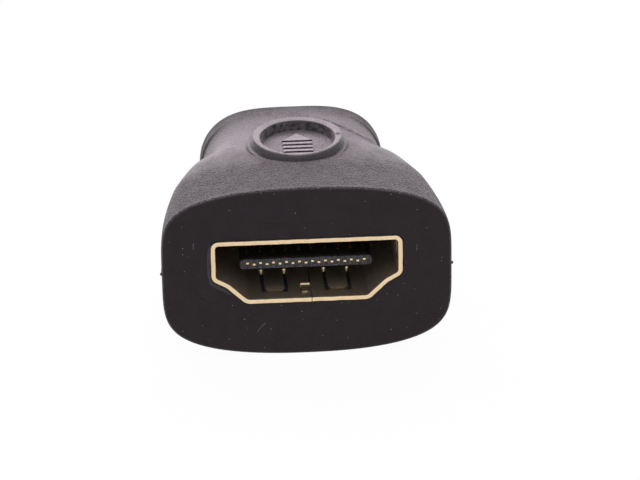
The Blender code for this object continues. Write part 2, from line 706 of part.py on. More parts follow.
def contact_slot_path(side):
    """The contact's line, run on past the tongue's tip so that its slot opens there."""
    path = socket_contact_path(side)
    return [(TONGUE_TIP - OVERCUT, path[0][1])] + path[1:]


def socket_contact_places():
    """Number, offset across and side of each contact: odd ones above the tongue, even ones below."""
    middle = (SOCKET_CONTACTS - 1) / 2
    for index in range(SOCKET_CONTACTS):
        yield index + 1, (middle - index) * SOCKET_PITCH, 1 if index % 2 == 0 else -1


def build_socket_insulator(shop):
    """The block that closes the shell, with the tongue and a slot for every contact."""
    bm = bmesh.new()
    add_prism(bm, socket_outline(-SHELL_WALL - MOULD_GAP), "xz", TONGUE_ROOT, INSULATOR_REAR)
    insulator = shop.add("socket_insulator", bm, "insulator")

    tongue = bmesh.new()
    half = TONGUE_THICKNESS / 2
    nose = half - TONGUE_CHAMFER
    cheek = TONGUE_TIP + TONGUE_CHAMFER_LENGTH
    root = TONGUE_ROOT + OVERCUT
    profile = [(TONGUE_TIP, nose), (cheek, half), (root, half)]
    profile += [(y, -z) for y, z in reversed(profile)]
    half_width = TONGUE_WIDTH / 2
    add_prism(tongue, profile, "yz", -half_width, half_width)
    blank = shop.add_cutter("tongue_blank", tongue)
    section = bmesh.new()
    corners = [(-half_width, half), (half_width, half), (half_width, -half), (-half_width, -half)]
    outline = rounded(corners, [TONGUE_CORNER_RADIUS] * len(corners))
    add_prism(section, outline, "xz", TONGUE_TIP - OVERCUT, root + OVERCUT)
    combine(blank, shop.add_cutter("tongue_section", section), "INTERSECT")
    combine(insulator, blank, "UNION")

    slots = bmesh.new()
    half_slot = CONTACT_WIDTH / 2 + SLOT_GAP
    for _, x, side in socket_contact_places():
        outline = strip_outline(contact_slot_path(side), CONTACT_THICKNESS + 2 * SLOT_GAP)
        add_prism(slots, outline, "yz", x - half_slot, x + half_slot)
    combine(insulator, shop.add_cutter("socket_contact_slots", slots), "DIFFERENCE")


def build_socket_contacts(shop):
    meshes = {}
    for number, x, side in socket_contact_places():
        name = f"socket_contact_{number:02d}"
        if side in meshes:
            shop.place(name, meshes[side], "contact", at=(x, 0.0, 0.0))
            continue
        bm = bmesh.new()
        outline = strip_outline(socket_contact_path(side), CONTACT_THICKNESS)
        add_prism(bm, outline, "yz", -CONTACT_WIDTH / 2, CONTACT_WIDTH / 2)
        meshes[side] = shop.add(name, bm, "contact", at=(x, 0.0, 0.0)).data


def build_circuit_board(shop):
    bm = bmesh.new()
    low = (-BOARD_HALF_WIDTH, BOARD_FRONT, -BOARD_THICKNESS / 2)
    add_box(bm, low, (BOARD_HALF_WIDTH, BOARD_REAR, BOARD_THICKNESS / 2))
    shop.add("circuit_board", bm, "board")


def build_plug_shell(shop):
    """The folded sheet of the plug, with two latch windows in its wide face."""
    bm = bmesh.new()
    tip = BODY_LENGTH + PLUG_REACH
    folded_tube(bm, plug_outline(), FRAME_FRONT + PLUG_SHELL_BACKSET, tip)
    shell = shop.add("plug_shell", bm, "gold", smooth=SHEET_SMOOTH_ANGLE)
    add_sheet_thickness(shell, PLUG_WALL)

    windows = bmesh.new()
    start = tip - PLUG_LATCH_FROM_TIP
    top = PLUG_RISE + PLUG_HEIGHT / 2
    for x in (-PLUG_LATCH_SPREAD, PLUG_LATCH_SPREAD):
        low = (x - PLUG_LATCH_WIDTH / 2, start, top - PLUG_WALL - MOULD_GAP / 2)
        add_box(windows, low, (x + PLUG_LATCH_WIDTH / 2, start + PLUG_LATCH_LENGTH, top + OVERCUT))
    combine(shell, shop.add_cutter("latch_windows", windows), "DIFFERENCE")


def plug_contact_path(side):
    """The line along a plug contact's middle; side is 1 where its tail lies on top of the board."""
    ceiling = PLUG_RISE + PLUG_SLOT_HEIGHT / 2
    along = ceiling - PLUG_CONTACT_PROUD + PLUG_CONTACT_THICKNESS / 2
    tail = BOARD_THICKNESS / 2 + BOARD_GAP + PLUG_CONTACT_THICKNESS / 2
    return [
        (BODY_LENGTH + PLUG_REACH - FRAME_INSET - PLUG_CONTACT_INSET, along),
        (FRAME_FRONT - PLUG_TAIL_BEND, along),
        (BOARD_REAR + PLUG_TAIL_BEND, side * tail),
        (BOARD_REAR - PLUG_TAIL, side * tail),
    ]


def plug_contact_places():
    """Number, offset across and tail side of each plug contact, all in one row."""
    middle = (PLUG_CONTACTS - 1) / 2
    for index in range(PLUG_CONTACTS):
        yield index + 1, (index - middle) * PLUG_PITCH, 1 if index % 2 == 0 else -1


def build_plug_insulator(shop):
    """The plastic that fills the plug's shell, with the slot for the mating tongue."""
    tip = BODY_LENGTH + PLUG_REACH - FRAME_INSET
    bm = bmesh.new()
    add_prism(bm, plug_outline(-PLUG_WALL - MOULD_GAP), "xz", FRAME_FRONT, tip)
    insulator = shop.add("plug_insulator", bm, "insulator")

    slot = bmesh.new()
    half = PLUG_SLOT_HEIGHT / 2
    low = (-PLUG_SLOT_WIDTH / 2, tip - PLUG_SLOT_DEPTH, PLUG_RISE - half)
    add_box(slot, low, (PLUG_SLOT_WIDTH / 2, tip + OVERCUT, PLUG_RISE + half))
    combine(insulator, shop.add_cutter("plug_slot", slot), "DIFFERENCE")

    grooves = bmesh.new()
    half_groove = PLUG_CONTACT_WIDTH / 2 + SLOT_GAP
    for _, x, side in plug_contact_places():
        path = plug_contact_path(side)
        line = [(path[0][0] + SLOT_GAP, path[0][1]), path[1]]
        outline = strip_outline(line, PLUG_CONTACT_THICKNESS + 2 * SLOT_GAP)
        add_prism(grooves, outline, "yz", x - half_groove, x + half_groove)
    combine(insulator, shop.add_cutter("plug_contact_grooves", grooves), "DIFFERENCE")


def build_plug_contacts(shop):
    meshes = {}
    for number, x, side in plug_contact_places():
        name = f"plug_contact_{number:02d}"
        if side in meshes:
            shop.place(name, meshes[side], "contact", at=(x, 0.0, 0.0))
            continue
        bm = bmesh.new()
        outline = strip_outline(plug_contact_path(side), PLUG_CONTACT_THICKNESS)
        add_prism(bm, outline, "yz", -PLUG_CONTACT_WIDTH / 2, PLUG_CONTACT_WIDTH / 2)
        meshes[side] = shop.add(name, bm, "contact", at=(x, 0.0, 0.0)).data


def main():
    clear_scene()
    shop = Workshop()
    build_overmould(shop)
    build_inner_mould(shop)
    build_socket_shell(shop)
    build_socket_insulator(shop)
    build_socket_contacts(shop)
    build_circuit_board(shop)
    build_plug_shell(shop)
    build_plug_insulator(shop)
    build_plug_contacts(shop)


if __name__ == "__main__":
    main()
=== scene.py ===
"""Looks of the small video adapter: its rubber body, plated shells, contacts, dust and studio.

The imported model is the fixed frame. The rubber body and the two folded shells get finer meshes of the
same shapes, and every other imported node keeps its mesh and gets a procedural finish. Lengths are in
metres; x is to the right, y backwards from the body's front face and z up, as in the frame.
"""
import math

import bmesh
import bpy
import numpy as np
from bpy.props import FloatProperty, FloatVectorProperty, IntProperty, PointerProperty
from mathutils import Matrix, Vector, noise


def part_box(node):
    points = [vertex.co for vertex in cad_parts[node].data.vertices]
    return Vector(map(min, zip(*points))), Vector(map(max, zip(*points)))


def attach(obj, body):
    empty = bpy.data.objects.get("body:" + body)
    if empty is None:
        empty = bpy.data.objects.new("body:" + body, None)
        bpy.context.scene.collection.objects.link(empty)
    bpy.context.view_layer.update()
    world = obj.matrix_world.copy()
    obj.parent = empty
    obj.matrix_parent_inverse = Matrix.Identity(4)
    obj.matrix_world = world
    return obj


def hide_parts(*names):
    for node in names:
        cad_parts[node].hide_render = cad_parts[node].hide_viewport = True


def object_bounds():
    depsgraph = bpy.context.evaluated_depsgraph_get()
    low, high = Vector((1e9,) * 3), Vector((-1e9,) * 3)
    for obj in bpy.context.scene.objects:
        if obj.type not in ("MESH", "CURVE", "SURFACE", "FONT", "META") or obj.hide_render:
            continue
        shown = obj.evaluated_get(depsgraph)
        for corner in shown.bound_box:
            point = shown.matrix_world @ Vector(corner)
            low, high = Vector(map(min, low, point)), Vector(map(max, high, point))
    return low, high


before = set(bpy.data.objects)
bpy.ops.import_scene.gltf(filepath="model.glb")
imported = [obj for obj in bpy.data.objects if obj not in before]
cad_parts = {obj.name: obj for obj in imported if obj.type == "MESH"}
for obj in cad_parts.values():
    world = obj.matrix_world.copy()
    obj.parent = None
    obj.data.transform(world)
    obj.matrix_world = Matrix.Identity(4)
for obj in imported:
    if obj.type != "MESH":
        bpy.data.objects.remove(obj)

bl_info = {
    "name": "Video adapter looks",
    "version": (1, 0, 0),
    "blender": (4, 5, 0),
    "location": "3D View > Sidebar > Adapter",
    "description": "Dresses the packed adapter: rubber, plating, contacts, dust and a plain studio",
    "category": "Object",
}

MM = 0.001
CAD_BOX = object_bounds()
CLOSE = 0.01 * MM  # measures nearer than this count as the same

# Where the frame's pieces lie
BODY_LOW, BODY_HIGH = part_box("overmould")
SHELL_LOW, SHELL_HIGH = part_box("socket_shell")
PLUG_LOW, PLUG_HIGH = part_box("plug_shell")
CORE_LOW, CORE_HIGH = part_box("inner_mould")
FACE = BODY_LOW.y
REAR = BODY_HIGH.y
BODY_LENGTH = REAR - FACE
BODY_MIDDLE = (BODY_LOW.z + BODY_HIGH.z) / 2
FACE_HALF_WIDTH = BODY_HIGH.x
FACE_HALF_HEIGHT = BODY_HIGH.z - BODY_MIDDLE

# The core's wide front block ends where its narrow rear block starts
CORE_POINTS = [vertex.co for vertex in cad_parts["inner_mould"].data.vertices]
CORE_END = [point for point in CORE_POINTS if point.y > CORE_HIGH.y - CLOSE]
CORE_REAR_HALF_WIDTH = max(point.x for point in CORE_END)
CORE_REAR_TOP = max(point.z for point in CORE_END)
CORE_REAR_BOTTOM = min(point.z for point in CORE_END)
CORE_STEP = max(point.y for point in CORE_POINTS if point.x > CORE_HIGH.x - CLOSE)

# Rubber body, front block: how it narrows and dips away from the face
BLOCK_LENGTH = 15.0 * MM
BLOCK_END_HALF_WIDTH = 8.65 * MM
BLOCK_END_HALF_HEIGHT = 5.78 * MM
SIDE_TAPER_POWER = 1.7
TOP_DIP_POWER = 2.0
FRONT_EDGE_RADIUS = 0.3 * MM

# Rubber body, waist and rear lobe
LOBE_FRONT = 19.0 * MM
WAIST_SIDE_SAG = 0.4 * MM
LOBE_HALF_WIDTH = 7.56 * MM
LOBE_HALF_HEIGHT = 4.95 * MM
LOBE_END_HALF_HEIGHT = 4.5 * MM
LOBE_RIDGE = 20.8 * MM
FLANK_STEP = 0.16 * MM
FLANK_STEP_START = 20.9 * MM
FLANK_STEP_LENGTH = 0.3 * MM
REAR_EDGE_RADIUS = 1.4 * MM

# The dish between them drops behind the block's shoulder and climbs slowly to the lobe's brow. Each fade
# gives the distances from the middle between which its measure changes.
SHOULDER_MIDDLE = 13.3 * MM
SHOULDER_SIDE = 12.1 * MM
SHOULDER_FADE = (3.0 * MM, 7.5 * MM)
DISH_DROP_LENGTH = 2.3 * MM
DISH_DEPTH_MIDDLE = 0.35 * MM
DISH_DEPTH_SIDE = 0.5 * MM
DISH_DEPTH_FADE = (1.0 * MM, 6.0 * MM)
DISH_CLIMB_POWER = 1.1
LEFT_CRISPNESS = 0.8  # how sharply the left shoulder breaks, from 0 to 1
LEFT_CRISPNESS_FADE = (3.5 * MM, 6.0 * MM)
SADDLE_DELAY = 1.6 * MM  # behind the ring the block reaches further back
SADDLE_RUN = 1.4 * MM
SADDLE_FADE = (1.0 * MM, 3.8 * MM)
# The brow's distance behind the face at each x in millimetres, and the small step that it ends in
BROW = (
    (-8.0, 20.8), (-7.2, 21.0), (-6.4, 21.1), (-5.2, 20.9), (-3.0, 21.1), (0.0, 21.0), (2.3, 19.8),
    (3.5, 19.0), (4.7, 18.4), (5.9, 18.6), (7.0, 20.0), (8.0, 20.8),
)
BROW_STEP = 0.13 * MM
BROW_STEP_LENGTH = 0.32 * MM
BROW_STEP_LEFT_SHARE = 0.1
BROW_STEP_FADE = (1.5 * MM, 4.0 * MM)

# Squareness of the body's sections, at distances behind the face: an ellipse at 2, a rectangle above
SQUARENESS = (
    (0.0, 2.3, 4.7),
    (8.0 * MM, 3.7, 4.2),
    (12.0 * MM, 3.25, 3.2),
    (15.5 * MM, 2.65, 2.2),
    (19.0 * MM, 3.0, 2.05),
    (24.0 * MM, 3.6, 2.05),
)
SECTION_SAMPLES = 2881

# Raised ring on top
RING_CENTRE = FACE + 11.4 * MM
RING_LIP_HEIGHT = 6.8 * MM
RING_TILT = math.radians(3.3)
RING_STRETCH = 1.03
RING_LIP_WIDTH = 0.72 * MM
RING_LIP_SPREAD = 0.18 * MM
RING_REAR_TRIM = 0.35 * MM
RING_FLANK_RUN = 0.22 * MM
RING_FLANK_DROP = 0.62 * MM
RING_FOOT_RADIUS = 0.3 * MM
RING_FOOT_LIFT = 0.6  # of the foot's radius
RING_REAR_FLARE = 0.6
RING_SIDE_FLARE = 0.1
RING_SIDE_SQUEEZE = 0.93
RING_EDGE_RADIUS = 0.14 * MM
RING_BROW_RADIUS = 0.2 * MM
RING_SKIRT = 2.6 * MM
RING_SKIRT_SPREAD = 0.4  # of the skirt's depth
RECESS_RADIUS = 2.95 * MM
RECESS_DEPTH = 0.8 * MM
RECESS_FORWARD = 0.38 * MM
RECESS_DRAFT = 0.2 * MM
RECESS_FILLET = 0.1 * MM

# The dent in the ring's lip: the angle from the right, the radius and the place of its centre
DENT_ANGLE = math.radians(-3.0)
DENT_RADIUS = 0.33 * MM
DENT_OUT = 0.3 * MM
DENT_UP = 0.2 * MM

# Arrow in the recess: a head behind a row of bars
MARK_WIDTH = 2.45 * MM
MARK_BAR = 0.38 * MM
MARK_BARS = 4
MARK_PITCH = 0.66 * MM
MARK_HEAD = 1.3 * MM
MARK_HEIGHT = 0.17 * MM
MARK_BEVEL = 0.045 * MM
MARK_BAR_ROUNDING = 0.16

# Beads along runs, each with its inputs in this order. The end share is how much of the way to the
# run's middle the bead takes to thicken.
BEAD_INPUTS = {
    "Radius": "Float", "End share": "Float", "Unevenness": "Float", "Spacing": "Float", "Sides": "Int",
}
WITNESS_BEAD = (0.035 * MM, 0.15, 0.9, 0.1 * MM, 6)
FLASH_BEAD = (0.035 * MM, 0.05, 1.4, 0.12 * MM, 10)
CREEP_BEAD = (0.15 * MM, 0.3, 0.3, 0.06 * MM, 20)
SCUFF_BEAD = (0.045 * MM, 0.5, 1.2, 0.03 * MM, 8)
BEAD_TIP = 0.15  # the radius at the very end, as a share of the bead's own
BEAD_SWELLS = 2500.0  # to the metre

# Witness lines of the two-shot moulding on the face, from its middle: x and z of each run's points
WITNESS_RUNS = (
    ((-5.2, 4.12), (-0.5, 4.09), (4.0, 4.11)),
    ((-5.3, -4.06), (0.0, -4.06), (5.5, -4.13)),
    ((8.55, 1.7), (8.57, 0.4)),
    ((8.45, -1.3), (8.2, -1.87), (7.87, -2.2), (7.4, -2.38), (6.95, -2.43)),
    ((-8.6, -1.3), (-8.3, -1.72), (-7.97, -2.03), (-7.5, -2.28), (-6.8, -2.43)),
)
# Rubber that crept out against the shell on the left, and pale scuffs
CREEP_RUN = (
    (-7.15, 2.58), (-7.41, 2.28), (-7.5, 1.5), (-7.5, 0.2),
    (-7.41, -0.53), (-7.06, -0.9), (-6.42, -1.25), (-5.78, -1.76),
)
CREEP_PROUD = 0.02 * MM
CREEP_FLATNESS = 0.34
SCUFF_RUNS = (
    ((-3.25, -4.14), (-3.6, -4.45), (-3.97, -4.92)),
    ((-8.64, 2.8), (-8.66, 2.2)),
    ((8.43, 1.95), (8.45, 1.4)),
)

# The parting line's flash, with its start and length in millimetres
PARTING_HEIGHT = BODY_MIDDLE + 0.16 * MM
FLASH_START = 0.15
FLASH_LENGTH = 17.0
FLASH_POINTS = 60
# The nubs at its front: side and distance behind the face
NUBS = ((-1, 0.32 * MM), (1, 0.36 * MM))
NUB_RADII = (0.15 * MM, 0.2 * MM, 0.12 * MM)
NUB_SINK = 0.02 * MM
NUB_ROUGHNESS = 0.025  # in millimetres
NUB_LUMPS = 6000.0  # to the metre

# Both folded shells
RIM_RADIUS = 0.07 * MM
SHEET_STEP = 0.2 * MM
MOULD_GAP = 0.03 * MM
PLUG_WALL = 0.25 * MM

# Socket shell
SHELL_WALL = 0.35 * MM
MOUTH_GAP = 0.06 * MM
RIM_WAVE = 0.018  # in millimetres
RIM_WAVES = (1500.0, 5000.0)  # to the metre
# The seam in its floor, in millimetres: x and the distance behind the face of each point, half the gap,
# the window's ends from the key's rear corner, and how far from the key's edges and root its lift begins
SEAM_PATH = ((0.33, -0.8), (0.33, 1.0), (-0.42, 0.8), (-0.42, 2.35), (0.33, 2.15), (0.33, 12.0))
SEAM_HALF_GAP = 0.028
KEY_WINDOW_NEAR = -0.12
KEY_WINDOW_FAR = 0.21
KEY_MARGIN = 0.02
KEY_ROOT = 0.1
KEY_RAMP = 0.3
KEY_WINDOW_LEAN = 0.25 * MM
KEY_LIFT = 0.13 * MM
# Its spring fingers, two in the floor, two in the roof and one in each side
FINGER_SPREAD = 2.45 * MM
SIDE_FINGER_DROP = 1.61 * MM
SIDE_FINGER_SHARE = 0.3
FINGER_WIDTH = 1.5 * MM
FINGER_SLOT = 0.3 * MM
FINGER_START = 1.15 * MM
FINGER_TIP = FINGER_START + FINGER_SLOT
FINGER_CREST = FINGER_TIP + 0.8 * MM
FINGER_ROOT = 5.2 * MM
FINGER_DEPTH = 0.2  # in millimetres
FINGER_CREST_POWER = 1.6
FINGER_SPRING = 1.2
FINGER_TIP_RADIUS = 0.4 * MM
FINGER_SLOT_LEAN = 0.35
FINGER_SLOT_END = 0.75  # the radius of the slots' round ends, as a share of their width
FINGER_SLOT_END_ARC = (-48, 228)

# Ribs between the contacts on the tongue's front end
RIB_COUNT = 20
RIB_PITCH = 0.5 * MM
RIB_LOW = (-0.15 * MM, -0.05 * MM, -0.1 * MM)
RIB_HIGH = (0.15 * MM, 0.12 * MM, 0.42 * MM)
RIB_BEVEL = 0.03 * MM

# Specks of dust: smallest and largest stretch, and how finely they are rumpled, to the metre
SPECK_SMALLEST = (0.45, 0.45, 0.3)
SPECK_LARGEST = (1.7, 1.2, 0.6)
SPECK_RUMPLES = 40000.0

# Cutters reach this far past what they cut
OVERCUT = 0.5 * MM

# Most values of a noise texture lie between these
NOISE_RANGE = (0.3, 0.7)

# Zones of the rubber's finish, each as the two measures between which it fades in or out: distances
# behind the face, the x of the left, distances from the ring's axis, then heights over the body's middle
FACE_EDGE = (0.3 * MM, 0.5 * MM)
GRAIN_START = (0.2 * MM, 0.7 * MM)
WEAR_START = (5.5 * MM, 9.5 * MM)
DISH_START = (8.5 * MM, 14.0 * MM)
DISH_END = (17.5 * MM, 21.5 * MM)
REAR_START = (20.0 * MM, 22.5 * MM)
DISH_LEFT = (-6.5 * MM, -2.5 * MM)
RING_REACH = (3.9 * MM, 4.25 * MM)
RECESS_REACH = (3.2 * MM, 3.3 * MM)
RING_FOOT = (5.6 * MM, 5.8 * MM)
RING_LIP = (6.2 * MM, 6.5 * MM)
# The part of the ring behind its centre that gets less painted sheen
RING_BACK = (0.0, 3.0 * MM)
# What the normal of a face has to be for it to count as facing up or forwards
UP_FACING = (0.35, 0.8)
FRONT_FACING = (-0.95, -0.75)
# How much painted sheen greys the dish, its left, its end and the ring's flank and back, how much painted
# light greys the recess's wall, and how much brighter the mark's painted sheen is
DISH_PAINTED_SHEEN = 0.42
DISH_LEFT_PAINTED_LIGHT_GAIN = 2.2
DISH_END_SHARE = 0.15
RING_FLANK_SHARE = 0.42
RING_BACK_SHARE = 0.5
RECESS_WALL_PAINTED_LIGHT = 0.36
MARK_PAINTED_SHEEN_GAIN = 1.25
# Sizes of the rubber's blotches, mottling and painted glint specks, the stretch of them all, and the grain's
# depth
BLOTCH_SIZE = 1.1 * MM
MOTTLE_SIZE = 0.4 * MM
PAINTED_GLINT_SIZE = 0.17 * MM
GRAIN_STRETCH = (1.0, 0.55, 1.0)
GRAIN_DEPTH = 0.32 * MM
# The grain's relief on worn rubber, on the face and at its edge, and the bloom on the face, as shares
WORN_RELIEF = 0.25
FACE_RELIEF = 0.1
EDGE_RELIEF = 0.4
FACE_BLOOM = 0.06
# Roughness of fresh and of worn rubber, and how far tone, grain and the rear change it
FRESH_ROUGHNESS = 0.54
WORN_ROUGHNESS = 0.4
TONE_ROUGHNESS = 0.05
GRAIN_ROUGHNESS = 0.1
REAR_DULLING = 0.16
# All that a share can be
WHOLE = (0.0, 1.0)

# The photograph's frame, and where the lens axis and the face's middle lie in it
PHOTO_WIDTH = 640
LENS_AXIS_PIXEL = (150.0, 240.0)
FACE_MIDDLE_PIXEL = (307.2, 271.8)
PIXELS_PER_MM = 13.05
SENSOR_WIDTH = 36.0

# Studio, with places and sizes in metres
BACK_LAMP_PLACE = (-0.05, 0.27, 0.3)
BACK_LAMP_SIZE = (0.5, 0.2)
BACK_LAMP_TINT = (1.0, 0.9, 0.98)
FRONT_LAMP_PLACE = (-0.1, -0.3, 0.08)
FRONT_LAMP_SIZE = (0.2, 0.2)
WORLD_LEVEL = 0.7
FLOOR_HALF_SIZE = 2.0
FLOOR_TONE = (0.85, 0.85, 0.85)
FLOOR_DROP = 0.002 * MM
FLOOR_GLOW = 0.97
WHITE = (1.0, 1.0, 1.0, 1.0)

# The noise that roughens the nubs and the shell's rim starts from the clock unless it is given a seed
noise.seed_set(1)


# Settings


class RubberSettings(bpy.types.PropertyGroup):
    """Colours and fineness of the rubber body."""

    stations: IntProperty(name="Stations", description="Sections along the body", default=200, min=24)
    section_points: IntProperty(name="Points", description="Points round each section", default=288, min=32)
    colour: FloatVectorProperty(
        name="Rubber", description="The rubber's own colour", subtype="COLOR",
        default=(0.0075, 0.0061, 0.0069), min=0.0, max=1.0,
    )
    # Handling bloom, which painted sheen makes paler on upward faces
    pale_colour: FloatVectorProperty(
        name="Bloom", description="The rubber where handling has greyed it", subtype="COLOR",
        default=(0.055, 0.048, 0.053), min=0.0, max=1.0,
    )
    # Painted sheen: the pale grey towards which upward faces of the dish, the ring and the mark are greyed
    painted_sheen_colour: FloatVectorProperty(
        name="Rubbed", description="The rubber where wear has greyed its upward faces", subtype="COLOR",
        default=(0.26, 0.226, 0.246), min=0.0, max=1.0,
    )
    grain: FloatProperty(
        name="Grain size", description="Size of the spark-eroded grain", default=0.14 * MM,
        min=0.0, unit="LENGTH", precision=6,
    )


class MetalSettings(bpy.types.PropertyGroup):
    """Colours of the plated sheet and the contacts."""

    plating: FloatVectorProperty(
        name="Plating", description="The plated sheet's smooth faces", subtype="COLOR",
        default=(0.39, 0.322, 0.255), min=0.0, max=1.0,
    )
    sheared: FloatVectorProperty(
        name="Sheared edge", description="The sheet's cut edges", subtype="COLOR",
        default=(0.84, 0.65, 0.41), min=0.0, max=1.0,
    )
    contact: FloatVectorProperty(
        name="Contacts", description="The plated contacts", subtype="COLOR",
        default=(0.85, 0.64, 0.33), min=0.0, max=1.0,
    )


class DustSettings(bpy.types.PropertyGroup):
    """Specks of dust that lie on the rubber."""

    density: FloatProperty(
        name="Specks", description="Specks on each square millimetre", default=0.22, min=0.0,
    )
    size: FloatProperty(
        name="Speck size", description="Radius of a middling speck", default=0.022 * MM,
        min=0.0, unit="LENGTH", precision=6,
    )
    seed: IntProperty(name="Seed", description="Which scatter of specks", default=4)


class StageSettings(bpy.types.PropertyGroup):
    """Camera and light levels."""

    elevation: FloatProperty(
        name="Elevation", description="How far above the horizon the camera looks from",
        default=math.radians(23.5), subtype="ANGLE",
    )
    roll: FloatProperty(
        name="Roll", description="The camera's turn about its line of sight",
        default=math.radians(-2.28), subtype="ANGLE",
    )
    distance: FloatProperty(
        name="Distance", description="From the camera to the face", default=250.0 * MM, unit="LENGTH",
    )
    key: FloatProperty(name="Key", description="Power of the softbox behind the object", default=1.6)
    fill: FloatProperty(name="Fill", description="Power of the softbox in front", default=0.05)


# Shader and geometry trees


class Tree:
    """A node tree with short calls for adding nodes and joining them."""

    def __init__(self, tree):
        self.tree = tree
        tree.nodes.clear()

    def feed(self, value, socket):
        """Join an output to an input, or set the input to a plain value."""
        if isinstance(value, bpy.types.NodeSocket):
            self.tree.links.new(value, socket)
        else:
            socket.default_value = value

    def add(self, kind, sockets=None, **settings):
        node = self.tree.nodes.new(kind)
        for name, value in settings.items():
            setattr(node, name, value)
        for name, value in (sockets or {}).items():
            self.feed(value, node.inputs[name])
        return node

    def first(self, kind, sockets=None, **settings):
        """The first output of a new node."""
        return self.add(kind, sockets, **settings).outputs[0]

    def math(self, operation, *values):
        return self.first("ShaderNodeMath", dict(enumerate(values)), operation=operation)

    def vector_math(self, operation, *values):
        return self.add("ShaderNodeVectorMath", dict(enumerate(values)), operation=operation).outputs

    def times(self, value, *factors):
        for factor in factors:
            value = self.math("MULTIPLY", value, factor)
        return value

    def scaled(self, value, factor, offset):
        return self.math("MULTIPLY_ADD", value, factor, offset)

    def rest(self, share):
        """What a share leaves of 1."""
        return self.math("SUBTRACT", 1.0, share)

    def remap(self, value, span, low=0.0, high=1.0, smooth=False, base=0.0):
        """low before the span, high past it and a slope between; the span is counted from base."""
        kind = "SMOOTHSTEP" if smooth else "LINEAR"
        ends = {"From Min": base + span[0], "From Max": base + span[1], "To Min": low, "To Max": high}
        node = self.add("ShaderNodeMapRange", {"Value": value, **ends}, interpolation_type=kind)
        return node.outputs["Result"]

    def blend(self, share, under, over):
        """A colour between two, either of which may be a socket."""
        node = self.add("ShaderNodeMix", data_type="RGBA")
        self.feed(share, node.inputs["Factor"])
        for socket, colour in ((node.inputs[6], under), (node.inputs[7], over)):
            linked = isinstance(colour, bpy.types.NodeSocket)
            self.feed(colour if linked else (*colour, 1.0), socket)
        return node.outputs[2]

    def speckle(self, where, size, detail=2.0, roughness=0.5):
        """Noise whose blotches are about as large as size."""
        sockets = {"Vector": where, "Scale": 1.0 / size, "Detail": detail, "Roughness": roughness}
        return self.add("ShaderNodeTexNoise", sockets).outputs["Fac"]

    def stretched(self, where, scale):
        return self.first("ShaderNodeMapping", {"Vector": where, "Scale": scale})

    def split(self, vector):
        """A vector's x, y and z."""
        return self.add("ShaderNodeSeparateXYZ", {"Vector": vector}).outputs


def new_finish(name):
    """A material with its tree, Principled shader and object coordinates ready."""
    material = bpy.data.materials.new(name)
    material.use_nodes = True
    tree = Tree(material.node_tree)
    shader = tree.add("ShaderNodeBsdfPrincipled")
    output = tree.add("ShaderNodeOutputMaterial", {"Surface": shader.outputs[0]})
    output.is_active_output = True
    where = tree.add("ShaderNodeTexCoord").outputs["Object"]
    return material, tree, shader, where


def finish_surface(tree, shader, colour, roughness, height, strength, depth):
    """Give a shader its colour, its roughness and a bump."""
    bump = tree.first("ShaderNodeBump", {"Height": height, "Strength": strength, "Distance": depth})
    for name, value in (("Base Color", colour), ("Roughness", roughness), ("Normal", bump)):
        tree.feed(value, shader.inputs[name])


def shade(colour, factor):
    return tuple(min(factor * part, 1.0) for part in colour)


def new_geometry_tree(name, inputs):
    """A geometry tree that takes a mesh, the named inputs and a material; returns it and its inputs."""
    group = bpy.data.node_groups.new(name, "GeometryNodeTree")
    for label, kind in (("Geometry", "Geometry"), *inputs.items(), ("Material", "Material")):
        group.interface.new_socket(label, in_out="INPUT", socket_type=f"NodeSocket{kind}")
    group.interface.new_socket("Geometry", in_out="OUTPUT", socket_type="NodeSocketGeometry")
    tree = Tree(group)
    return tree, tree.add("NodeGroupInput").outputs


def close_geometry_tree(tree, geometry, material):
    """End a tree in Realize Instances and Set Material."""
    whole = tree.first("GeometryNodeRealizeInstances", {"Geometry": geometry})
    dressed = tree.first("GeometryNodeSetMaterial", {"Geometry": whole, "Material": material})
    tree.add("NodeGroupOutput", {0: dressed})
    return tree.tree


def grown(name, source, group, values, smooth=None):
    """A plain mesh object of what a geometry tree grows from a mesh, with the tree's inputs set."""
    obj = scene_object(name, source)
    modifier = obj.modifiers.new("grow", "NODES")
    modifier.node_group = group
    for item in group.interface.items_tree:
        if item.in_out == "INPUT" and item.name in values:
            modifier[item.identifier] = values[item.name]
    return baked(obj, name, smooth)


def bead_tree():
    """A round bead along every run of edges; it thins towards its ends and swells here and there."""
    tree, given = new_geometry_tree("bead", BEAD_INPUTS)
    curve = tree.first("GeometryNodeMeshToCurve", {"Mesh": given["Geometry"]})
    sockets = {"Curve": curve, "Length": given["Spacing"]}
    even = tree.first("GeometryNodeResampleCurve", sockets, mode="LENGTH")
    share = tree.add("GeometryNodeSplineParameter").outputs["Factor"]
    inwards = tree.rest(tree.math("ABSOLUTE", tree.scaled(share, 2.0, -1.0)))
    taper = tree.math("MINIMUM", tree.math("DIVIDE", inwards, given["End share"]), 1.0)
    swell = tree.add("ShaderNodeTexNoise", {"Scale": BEAD_SWELLS, "Detail": 1.0}).outputs["Fac"]
    uneven = tree.scaled(tree.math("SUBTRACT", swell, 0.5), given["Unevenness"], 1.0)
    radius = tree.times(tree.scaled(taper, 1.0 - BEAD_TIP, BEAD_TIP), uneven, given["Radius"])
    ring = tree.first("GeometryNodeCurvePrimitiveCircle", {"Resolution": given["Sides"], "Radius": 1.0})
    sockets = {"Curve": even, "Profile Curve": ring, "Scale": radius, "Fill Caps": True}
    bead = tree.first("GeometryNodeCurveToMesh", sockets)
    return close_geometry_tree(tree, bead, given["Material"])


